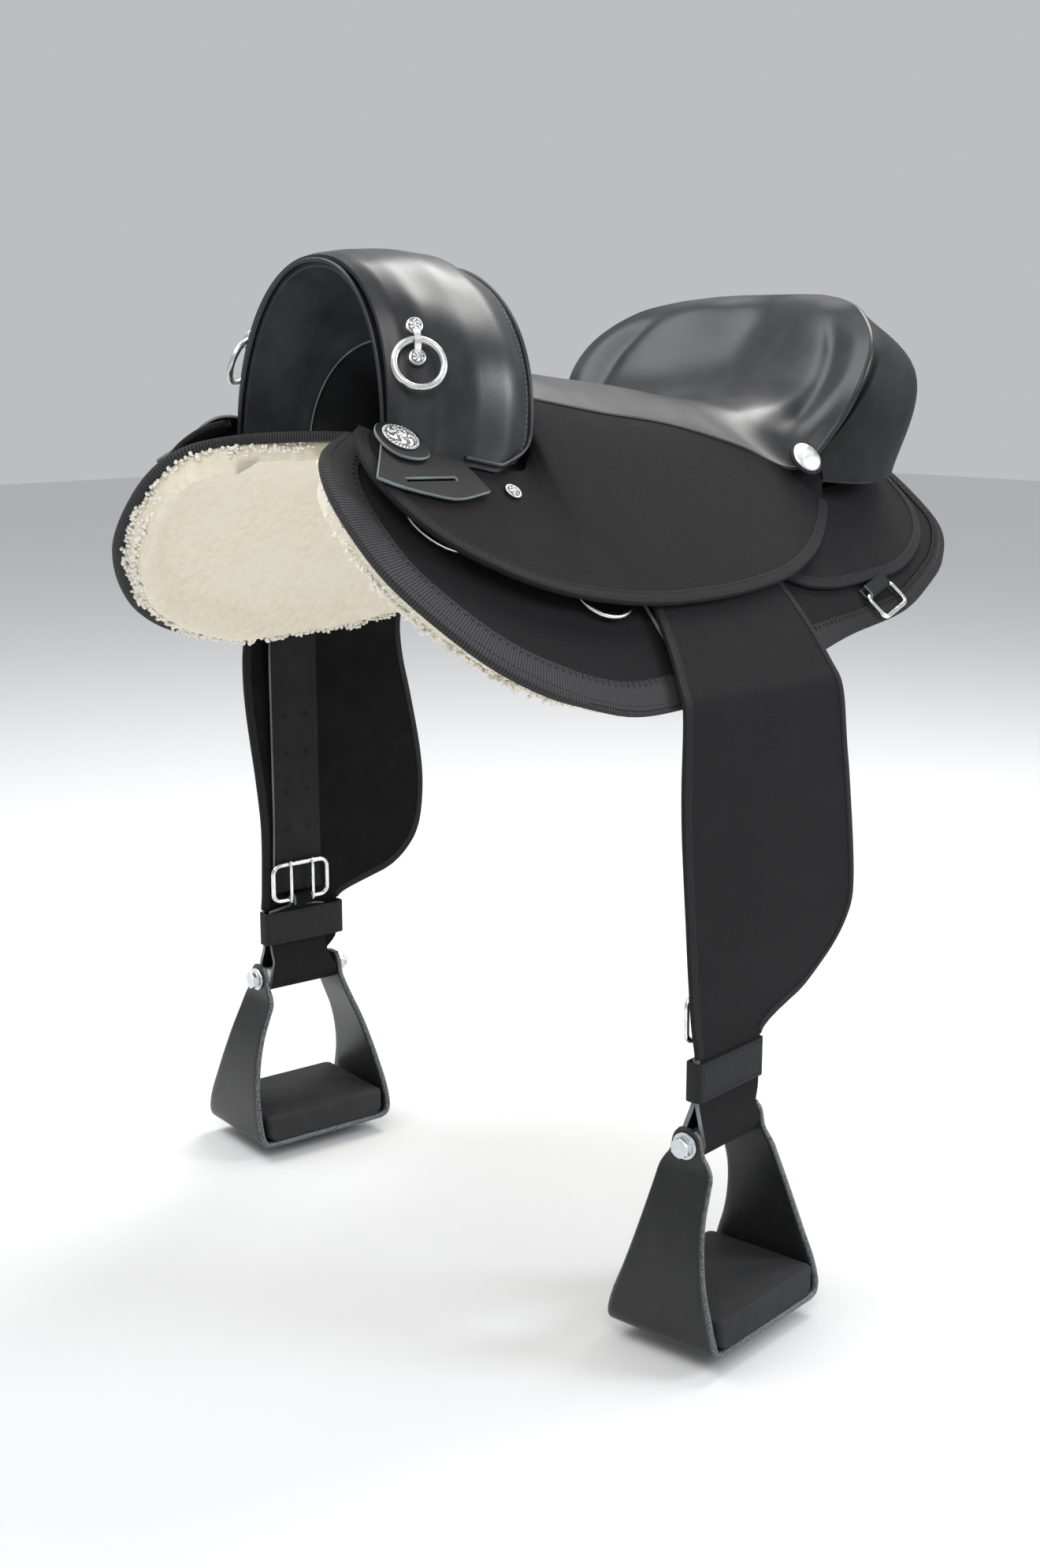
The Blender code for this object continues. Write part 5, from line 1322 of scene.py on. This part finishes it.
def build_stirrup_leathers():
    path = hanging_path(SLOPE_FEET, LEATHER_LIFT, LEATHER_DROP)
    top, bottom = hanging_skins(path, [LEATHER_EDGES] * len(path), LEATHER_THICKNESS, 14)
    strap = Shape().sheet(top, bottom, rim=1)
    add_both("leather_strap", strap, [STRAP, CUT_EDGE], "stirrup_leather", "leathers")
    holes, marks = Shape(), Shape()
    # The holes are not cut: each is a shallow near-black cup, painted shade for the inside of a punched hole.
    for k in range(STRAP_HOLE_COUNT):
        for y in (LEATHER_Y - TONGUE_OFFSET, LEATHER_Y + TONGUE_OFFSET):
            x, z = LEATHER_DROP[-1][0] - LEATHER_THICKNESS / 2, STRAP_HOLE_FIRST_Z - k * STRAP_HOLE_PITCH
            spot = frame_matrix(hang(Vector((x, y, z))), Vector((0, 1, 0)), Vector((-1, 0, 0)))
            turned_piece(holes, spot, STRAP_HOLE_LEVELS, 20)
    add_both("leather_holes", holes, HOLE_SHADE, body="leathers")
    for edge in (0, -1):
        line = [row[edge] for row in bottom if row[edge].z < -0.19]
        running_stitches(marks, Edge(bottom, top, line).line(0.004, 0.0001), 0.0032, 0.0016, 0.0003)
    add_both("leather_stitching", marks, DARK_THREAD, body="leathers")


# Cut, turned and cast pieces
def twice_area(loop):
    """Positive for a loop that runs anticlockwise."""
    return sum(xa * yb - xb * ya for (xa, ya), (xb, yb) in zip(loop, loop[1:] + loop[:1]))


def inside(outline, x, y):
    """Whether a plan point lies in an outline."""
    hit = False
    for (xa, ya), (xb, yb) in zip(outline, outline[1:] + outline[:1]):
        if (ya > y) != (yb > y) and x < (xb - xa) * (y - ya) / (yb - ya) + xa:
            hit = not hit
    return hit


def smooth_loop(points, count):
    """Points of a smooth closed line through the given ones."""
    knots = [Vector(p) for p in points[-2:] + points + points[:3]]
    around = curve(knots, len(knots) * 24)
    lengths = lengths_along(knots)
    low, high = [round(lengths[k] / lengths[-1] * (len(around) - 1)) for k in (2, 2 + len(points))]
    part = around[low:high]
    return [p.xy.to_tuple() for p in resample(part, lengths_along(part)[-1] / count)]


def cut_leaf(shape, outline, holes, put, thickness, edge=1, step=0.003):
    """A flat cut-out with rounded edges, laid down by put(x, y, height)."""
    loops = [outline if twice_area(outline) >= 0 else outline[::-1]] + holes
    plan, edges = [], []
    for loop in loops:
        start = len(plan)
        plan += loop
        edges += [(start + k, start + (k + 1) % len(loop)) for k in range(len(loop))]

    def in_leaf(x, y):
        return not any(inside(h, x, y) for h in holes)

    border = list(plan)
    low_x, low_y = [min(p[axis] for p in outline) for axis in (0, 1)]
    size_x, size_y = [max(p[axis] for p in outline) - low for axis, low in ((0, low_x), (1, low_y))]
    for i in range(int(size_x / step) + 1):
        for j in range(int(size_y / step) + 1):
            x, y = low_x + i * step, low_y + j * step
            if inside(loops[0], x, y) and in_leaf(x, y):
                if min(math.dist((x, y), p) for p in border) > step * 0.55:
                    plan.append((x, y))
    made = geometry.delaunay_2d_cdt([Vector(p) for p in plan], edges, [], 1, 1e-7)
    spots = [(p.x, p.y) for p in made[0]]
    top, low = [shape.add_points([put(x, y, height) for x, y in spots], spots) for height in (thickness, 0.0)]
    for corners in made[2]:
        if in_leaf(*[sum(spots[k][axis] for k in corners) / len(corners) for axis in (0, 1)]):
            shape.face([top + k for k in corners])
            shape.face([low + k for k in reversed(corners)])
    for number, ring in enumerate(loops):
        if number and twice_area(ring) > 0:
            ring = ring[::-1]
        count = len(ring)
        rows = []
        for push, height in LEAF_EDGE:
            line = []
            for k, (x, y) in enumerate(ring):
                (xa, ya), (xb, yb) = beside(ring, k, closed=True)
                size = max(math.dist((xa, ya), (xb, yb)), SHORTEST)
                x += (yb - ya) / size * push * thickness
                y -= (xb - xa) / size * push * thickness
                line.append(put(x, y, height * thickness))
            rows.append(shape.add_points(line, [(k * step, height) for k in range(count)]))
        for a, b in zip(rows, rows[1:]):
            for k in range(count):
                n = (k + 1) % count
                shape.face((a + k, a + n, b + n, b + k), edge)
    return shape


def turned_piece(shape, place, levels, sides=40):
    """Skin circles of (radius, height) about the Z axis of a place matrix."""
    loops = []
    for radius, height in levels:
        loops.append([place @ Vector((radius * c, radius * s, height)) for c, s in spins(sides)])
    return shape.skin(loops)


def relief_disc(shape, place, radius, relief_of, rings, sectors):
    """A coin whose height and recess are given by relief_of, from the share of the radius and the angle."""
    points, cloth = [], []
    for i in range(rings + 1):
        r = 0.02 + 0.98 * i / rings
        for k, (c, s) in enumerate(spins(sectors)):
            height, recess = relief_of(r, 2 * math.pi * k / sectors)
            points.append(place @ Vector((r * radius * c, r * radius * s, height)))
            cloth.append((recess, r))
    start = shape.add_points(points, cloth)
    for a in range(start, start + rings * sectors, sectors):
        for k in range(sectors):
            n = (k + 1) % sectors
            shape.face((a + k, a + sectors + k, a + sectors + n, a + n))
    shape.face(range(start, start + sectors))
    wall = [(radius * 0.985, 0.0), (radius, 0.0004), (radius, relief_of(1.0, 0.0)[0])]
    return turned_piece(shape, place, wall, sectors)


def concho_relief(r, a):
    """A rope rim, a ring of scrolled leaves and a rosette on a low dome."""
    rope = (0.5 + 0.5 * math.sin(30 * a + 22 * r)) * band(r, 0.84, 0.88, 0.975, 1.0)
    field = band(r, 0.3, 0.36, 0.76, 0.81)
    sway = math.sin(7 * a + 2.6 * math.sin(8.5 * r))
    leaf = smoothstep(sway, -0.25, 0.35) * (0.72 + 0.28 * math.cos(28 * a - 30 * r))
    petal = (0.55 + 0.45 * math.cos(8 * a)) * band(r, 0.05, 0.09, 0.24, 0.29)
    button = 1 - smoothstep(r, 0.045, 0.07)
    relief = min(rope + field * leaf + petal + button, 1.0)
    return 0.0011 + 0.0022 * (1 - r * r) + 0.0007 * relief, 1.0 - relief


def screw_relief(r, a):
    """A small flower in a plain rim."""
    rim = smoothstep(r, 0.8, 0.86)
    petal = (0.5 + 0.5 * math.cos(6 * a + 5 * r)) * band(r, 0.14, 0.22, 0.66, 0.74)
    relief = min(rim + petal + 1 - smoothstep(r, 0.1, 0.16), 1.0)
    return 0.0009 + 0.0014 * (1 - r * r) + 0.0004 * relief, 1.0 - relief


def flat_dome(radius, foot, height, steps=10):
    """Levels of a plain domed button with a rolled rim."""
    levels = [(radius * 0.97, 0.0), (radius, 0.0005), (radius, foot * 0.8), (radius * 0.975, foot)]
    for k in range(1, steps):
        a = math.pi / 2 * k / steps
        levels.append((radius * 0.965 * math.cos(a), foot + height * math.sin(a)))
    return levels + [(0.0002, foot + height)]


def raised(place, height):
    return place @ Matrix.Translation((0, 0, height))


# Rings, dees, conchos and keepers
def build_rings():
    """The swell's rings, and the two-screw clips that hold them."""
    u, angle = RING_SPOT
    foot = hood_point(u, angle)
    out = (hood_point(u + 0.01, angle) - foot).cross(hood_point(u, angle + 0.01) - foot).normalized()
    out = facing(out, Vector((1, 0, 0)))
    across = Vector((0, 0, 1)).cross(out).normalized()
    down = facing(across.cross(out).normalized(), Vector((0, 0, -1)))
    centre = foot + out * RING_STAND_OFF + down * RING_RADIUS
    circle = [centre + (across * c + down * s) * RING_RADIUS for c, s in spins(72)]
    ring = Shape().tube(circle, RING_WIRE, 16, closed=True)
    add_both("swell_ring_round", ring, WORN, "swell_ring", "hung_swell_ring")
    rise = CLIP_RISE + [(-a, h) for a, h in reversed(CLIP_RISE[:-1])]
    path = curve([foot - down * a + out * h for a, h in rise], 40)
    loops = []
    for i, p in enumerate(path):
        behind, ahead = beside(path, i)
        lift = across.cross((ahead - behind).normalized()).normalized()
        loops.append([p + across * a + lift * b for a, b in CLIP_SECTION])
    clip = Shape().skin(loops)
    for end in (-CLIP_SCREW_PLACE, CLIP_SCREW_PLACE):
        spot = frame_matrix(foot - down * end + out * 0.0014, across, out)
        turned_piece(clip, spot, [(0.0064, -0.002), (0.0066, 0.0), (0.0064, 0.0016)], 32)
        relief_disc(clip, raised(spot, 0.0012), 0.0062, screw_relief, 14, 72)
    add_both("ring_clip_cast", clip, ENGRAVED, "ring_clip")


def dee_outline(width, reach, steps=24):
    """A straight bar on the y axis, closed by a bow."""
    points = [(0.0, width * share) for share in (-0.5, -0.25, 0.0, 0.25, 0.5)]
    for k in range(1, steps):
        a = math.radians(90 - 180 * k / steps)
        points.append((0.003 + (reach - 0.003) * math.cos(a) ** 0.7, width / 2 * math.sin(a)))
    return points


def build_dee(name, spot, heading, outline, tab_width, tab_length):
    """A dee, and the strap end that folds round its bar."""
    place = surface_frame(*spot, DEE_LIFT, heading)
    path = resample([place @ Vector((x, y, 0)) for x, y in outline], 0.0016, closed=True)
    wire = Shape().tube(path, DEE_WIRE, 12, closed=True)
    add_both(name + "_wire", wire, NICKEL, name, "hung_" + name)
    radius = DEE_WIRE + 0.0003 + TAB_THICKNESS / 2
    fold = resample([Vector((-tab_length, 0, -radius)), Vector((-0.003, 0, -radius))], 0.002)
    fold += arc((0, 0), radius, -90, 90, 15)
    fold += resample([Vector((-0.003, 0, radius)), Vector((-tab_length, 0, radius))], 0.002)
    top, bottom = ribbon(fold, [(-tab_width / 2, tab_width / 2)] * len(fold), TAB_THICKNESS, 8)
    tab = Shape().sheet(top, bottom, rim=1).moved(lambda p: place @ p)
    add_both(name + "_loop", tab, [STRAP, CUT_EDGE], name + "_tab")


def build_conchos():
    """Engraved front conchos with leaves and keepers, seat screws and plain rear conchos."""
    seat = surface_frame(*FRONT_CONCHO, KEEPER_TOP, (1, 0))

    def on_seat(x, y, height):
        return seat @ Vector((x, y, height + 0.0003))

    leaf = cut_leaf(Shape(), smooth_loop(CONCHO_LEAF, 90), [], on_seat, 0.0026)
    add_both("concho_leaf", leaf, [STRAP, CUT_EDGE])
    coin = relief_disc(Shape(), raised(seat, 0.003), CONCHO_RADIUS, concho_relief, 44, 216)
    add_both("concho_engraved", coin, ENGRAVED, "front_concho")
    sides = curve(KEEPER_INNER, 30) + curve(KEEPER_OUTER, 30)[::-1]
    outline = [p.xy.to_tuple() for p in resample(sides, 0.0018, closed=True)]
    (x, y), length, width = KEEPER_SLOT
    opening = [(x + a, y + b) for a, b in rounded_rectangle(width, length, width * 0.45, 4)]

    def on_jockey(x, y, height):
        return on_back(x, y, KEEPER_TOP - KEEPER_THICKNESS + height)

    keeper = cut_leaf(Shape(), outline, [opening], on_jockey, KEEPER_THICKNESS)
    add_both("keeper_leaf", keeper, [STRAP, CUT_EDGE], "latigo_keeper")
    screw = surface_frame(*SEAT_SCREW, JOCKEY_TOP + 0.0003, (1, 0))
    small = relief_disc(Shape(), screw, SCREW_RADIUS, screw_relief, 18, 96)
    add_both("seat_screw_engraved", small, AGED, "seat_screw")
    normal = Vector(REAR_CONCHO_FACING).normalized()
    place = frame_matrix(Vector(REAR_CONCHO) + normal * REAR_CONCHO_LIFT, normal.orthogonal(), normal)
    washer = turned_piece(Shape(), place, WASHER_LEVELS, 56)
    add_both("rear_concho_washer", washer, STRAP)
    plain = turned_piece(Shape(), raised(place, 0.0004), flat_dome(REAR_CONCHO_RADIUS, 0.0014, 0.0026), 56)
    add_both("rear_concho_dome", plain, SATIN, "rear_concho")


def build_hardware():
    build_rings()
    build_dee("front_rigging_dee", *FRONT_DEE, dee_outline(0.06, 0.034), 0.036, 0.018)
    build_dee("rear_rigging_dee", *REAR_DEE, dee_outline(0.052, 0.034), 0.03, 0.02)
    frame_line = [(x + 0.012, y) for x, y in rounded_rectangle(0.024, 0.048, 0.006, 8)]
    build_dee("rear_skirt_dee", *SKIRT_DEE, frame_line, 0.038, 0.009)
    build_conchos()


# Buckles, straps and stirrups
def bolt_place():
    """A frame at the bolt's middle, with Z along the bolt."""
    a = math.radians(TWIST_DEG)
    axis = Vector((-math.sin(a), math.cos(a), 0))
    return frame_matrix(Vector((LEATHER_X, LEATHER_Y, BOLT_Z)), Vector((0, 0, 1)), axis)


def build_buckles():
    x, z = BUCKLE_CENTRE

    def with_buckle(point):
        return turned(point, BUCKLE_TURN_DEG / TWIST_DEG)

    outline = rounded_rectangle(BUCKLE_WIDTH, BUCKLE_HEIGHT, 0.008, 8)
    path = resample([Vector((x, LEATHER_Y + a, z + b)) for a, b in outline], 0.0016, closed=True)
    wire = Shape().tube(path, BUCKLE_WIRE, 14, closed=True).moved(with_buckle)
    add_both("buckle_wire", wire, NICKEL, "buckle_frame", "leathers")
    low, high = z - BUCKLE_HEIGHT / 2, z + BUCKLE_HEIGHT / 2
    for end, sign in (("front", -1), ("rear", 1)):
        y = LEATHER_Y + sign * TONGUE_OFFSET
        line = arc((x, low), BUCKLE_WIRE + 0.0004 + TONGUE_RADIUS, 110, -180, 20)
        rest = x - BUCKLE_WIRE - 0.0003 - TONGUE_RADIUS
        line += [Vector((rest, 0, low + 0.006)), Vector((rest, 0, high + 0.004))]
        line = resample([Vector((p.x, y, p.z)) for p in line], 0.0012)
        shares = [k / len(line) for k in range(len(line))]
        sizes = [0.00105 + 0.0007 * smoothstep(s, 0.25, 0.4) * (1 - smoothstep(s, 0.8, 1.0)) for s in shares]
        tongue = Shape().tube(line, sizes, 10).moved(with_buckle)
        add_both("tongue_bar_" + end, tongue, NICKEL, "buckle_tongue_" + end, "tongue_" + end)


def build_hobble():
    """The strap that goes round both legs of the leather above the bolt, with its two rows of stitches."""
    x0, x1, y0, y1 = HOBBLE_INSIDE
    middle = Vector(((x0 + x1) / 2, (y0 + y1) / 2, 0))
    rings = []
    for grow, spacing in ((HOBBLE_THICKNESS, 0.0022), (0.0, 0.0022 * 0.95)):
        ring = rounded_rectangle(x1 - x0 + 2 * grow, y1 - y0 + 2 * grow, 0.003 + grow, 5)
        rings.append(resample([Vector((a, b, 0)) for a, b in ring], spacing, closed=True))
    outer, inner = rings
    heights = [Vector((0, 0, HOBBLE_BOTTOM + (HOBBLE_TOP - HOBBLE_BOTTOM) * share)) for share in even(11)]
    top, bottom = [], []
    for p in outer + outer[:1]:
        near = min(inner, key=lambda q: (q - p).length)
        top.append([middle + p + up for up in heights])
        bottom.append([middle + near + up for up in heights])
    band = Shape().sheet(top, bottom)
    for edge in (0, -1):
        line = Edge(top, bottom, [row[edge] for row in top], 0.003).line(0.0028, 0.0003)
        running_stitches(band, line, 0.0026, 0.0012, 0.0003, slot=1)
    band.moved(fully_turned)
    add_both("hobble_band", band, [WEBBING, DARK_THREAD], "hobble_strap", "leathers")


def build_stirrup_bells():
    front = [(-y, z, w) for y, z, w in STIRRUP_SIDE]
    path = curve(front, 60) + curve(STIRRUP_SIDE[::-1], 60)
    base = Vector((LEATHER_X, LEATHER_Y, TREAD_Z))
    t = PLATE_THICKNESS / 2
    loops, cloth = [], []
    for i, p in enumerate(path):
        behind, ahead = beside(path, i)
        out = Vector((0, behind.y - ahead.y, ahead.x - behind.x)).normalized()
        w = p.z
        corner = [(w, t - 0.0022), (w - 0.0007, t - 0.0007), (w - 0.0022, t)]
        half = corner[::-1] + [(x, -y) for x, y in corner]
        half += [(w * share, -t) for share in (0.8, 0.4, 0.0, -0.4, -0.8)]
        ring = half + [(-x, -y) for x, y in half]
        loops.append([base + Vector((x, p.x, p.y)) + out * y for x, y in ring])
        cloth += [(abs(x) / w, i * 0.005) for x, y in ring]
    shape = Shape().skin(loops).moved(fully_turned)
    shape.cloth = cloth
    add_both("stirrup_bell", shape, MOULDED, "stirrup_frame", "stirrup")
    low, d, n = PLATE_THICKNESS + 0.0003, 2 * PAD_HALF_DEPTH, 2 * PAD_HALF_LENGTH
    high = low + PAD_THICKNESS
    levels = [
        (low, d - 0.001, n - 2 * PAD_CHAMFER, 0.005), (low + 0.0008, d, n - 2 * PAD_CHAMFER + 0.001, 0.0055),
        (low + PAD_CHAMFER, d, n, 0.006), (high - 0.0045, d, n, 0.006),
        (high - 0.0018, d - 0.0008, n - 0.0008, 0.006), (high - 0.0006, d - 0.0026, n - 0.0026, 0.0055),
        (high, d - 0.0055, n - 0.0055, 0.0045),
    ]
    loops = [[base + Vector((x, y, z)) for x, y in rounded_rectangle(a, b, r, 6)] for z, a, b, r in levels]
    pad = Shape().skin(loops).moved(fully_turned)
    add_both("tread_block", pad, RUBBER, "tread_pad", "stirrup", sharp=50)


def build_bolts():
    """The sleeve in the leather's loop, and the bolt with its washer, head, nut and thread."""
    place = bolt_place()
    end = SLEEVE_HALF_LENGTH
    half = [(0.009, end - 0.0006), (0.0086, end), (SLEEVE_BORE, end - 0.0002)]
    sleeve = turned_piece(Shape(), place, [(r, -h) for r, h in reversed(half)] + half, 32)
    add_both("sleeve_tube", sleeve, STEEL, "bolt_sleeve", "leathers")
    ear = EAR_OFFSET + PLATE_THICKNESS / 2 + 0.0003
    bolt = Shape()
    washer = [(0.0109, -ear - 0.0019), (0.0112, -ear - 0.0014), (0.0112, -ear - 0.0004), (0.0108, -ear)]
    shank = [(0.005, -ear + 0.0001), (0.005, ear + 0.0105), (0.0044, ear + 0.0112), (0.0002, ear + 0.0112)]
    turned_piece(bolt, place, washer, 36)
    turned_piece(bolt, place, shank, 28)
    for start, stop in ((-ear - 0.0086, -ear - 0.0021), (ear, ear + 0.007)):
        loops = []
        flat = HEX_RADIUS * math.cos(math.pi / 6)
        hexagon, circle = [HEX_RADIUS, flat] * 6, [0.008] * 12
        levels = (circle, start), (hexagon, start + 0.0006), (hexagon, stop - 0.0006), (circle, stop)
        for radii, z in levels:
            loops.append([place @ Vector((r * c, r * s, z)) for r, (c, s) in zip(radii, spins(12))])
        bolt.skin(loops)
    for k in range(8):
        z = ear + 0.0072 + k * THREAD_PITCH
        ridge = [(0.0048, z), (0.0052, z + THREAD_PITCH / 2), (0.0048, z + THREAD_PITCH)]
        turned_piece(bolt, place, ridge, 28)
    add_both("bolt_hex", bolt, ZINC, "stirrup_bolt", "stirrup", sharp=30)


# Camera, stage and light
def put_in_scene(name, data, place, target):
    """Add a camera or lamp that looks at the target."""
    obj = bpy.data.objects.new(name, data)
    obj.location = place
    obj.rotation_mode = "QUATERNION"
    obj.rotation_quaternion = (Vector(target) - Vector(place)).to_track_quat("-Z", "Y")
    bpy.context.scene.collection.objects.link(obj)
    return obj


def build_stage():
    scene = bpy.context.scene
    scene.view_settings.view_transform = "Standard"
    data = bpy.data.cameras.new("camera")
    data.sensor_fit = "VERTICAL"
    data.sensor_height = SENSOR_HEIGHT
    data.lens = FOCAL_PIXELS / PHOTO_HEIGHT_PIXELS * SENSOR_HEIGHT
    data.shift_y = CAMERA_SHIFT
    scene.camera = put_in_scene("camera", data, CAMERA_PLACE, CAMERA_TARGET)
    mesh = bpy.data.meshes.new("floor")
    corners = [(x * FLOOR_HALF, y * FLOOR_HALF, FLOOR_Z) for x, y in ((-1, -1), (1, -1), (1, 1), (-1, 1))]
    mesh.from_pydata(corners, [], [(0, 1, 2, 3)])
    mesh.materials.append(Look("floor_paper", (0.8, 0.8, 0.8), 0.9).material)
    floor = bpy.data.objects.new("floor", mesh)
    scene.collection.objects.link(floor)
    world = bpy.data.worlds.new("studio")
    world.use_nodes = True
    background = world.node_tree.nodes["Background"]
    background.inputs["Color"].default_value = (0.93, 0.94, 0.96, 1.0)
    background.inputs["Strength"].default_value = 0.55
    scene.world = world
    for name, place, target, colour, width, height, power in LAMPS:
        lamp = bpy.data.lights.new(name, "AREA")
        lamp.shape = "RECTANGLE"
        lamp.size, lamp.size_y, lamp.energy = width, height, power
        lamp.color = colour
        put_in_scene(name, lamp, place, target)


def paint_nodes():
    """Materials for the CAD nodes that stay."""
    finishes = {
        "black_leather": STRAP, "cordura": WOVEN, "skirt_cordura": SKIRTING, "fleece": PILE, "nickel": NICKEL,
        "steel": STEEL, "tree_cover": COVERED_TREE, "stirrup_black": MOULDED, "tread_rubber": RUBBER,
    }
    slots = {row["node"]: row["material_slot"] for row in frame["record"]["subparts"]}
    for name, obj in frame["nodes"].items():
        obj.data.materials.clear()
        obj.data.materials.append(finishes[slots[name]])


build_stage()
paint_nodes()
build_skirts()
build_fleece()
build_swell()
seat_top, seat_bottom = build_seat()
build_jockeys(seat_top)
build_rear_jockeys()
build_cantle(seat_top, seat_bottom)
build_fenders()
build_hardware()
build_stirrup_leathers()
build_buckles()
build_hobble()
build_stirrup_bells()
build_bolts()
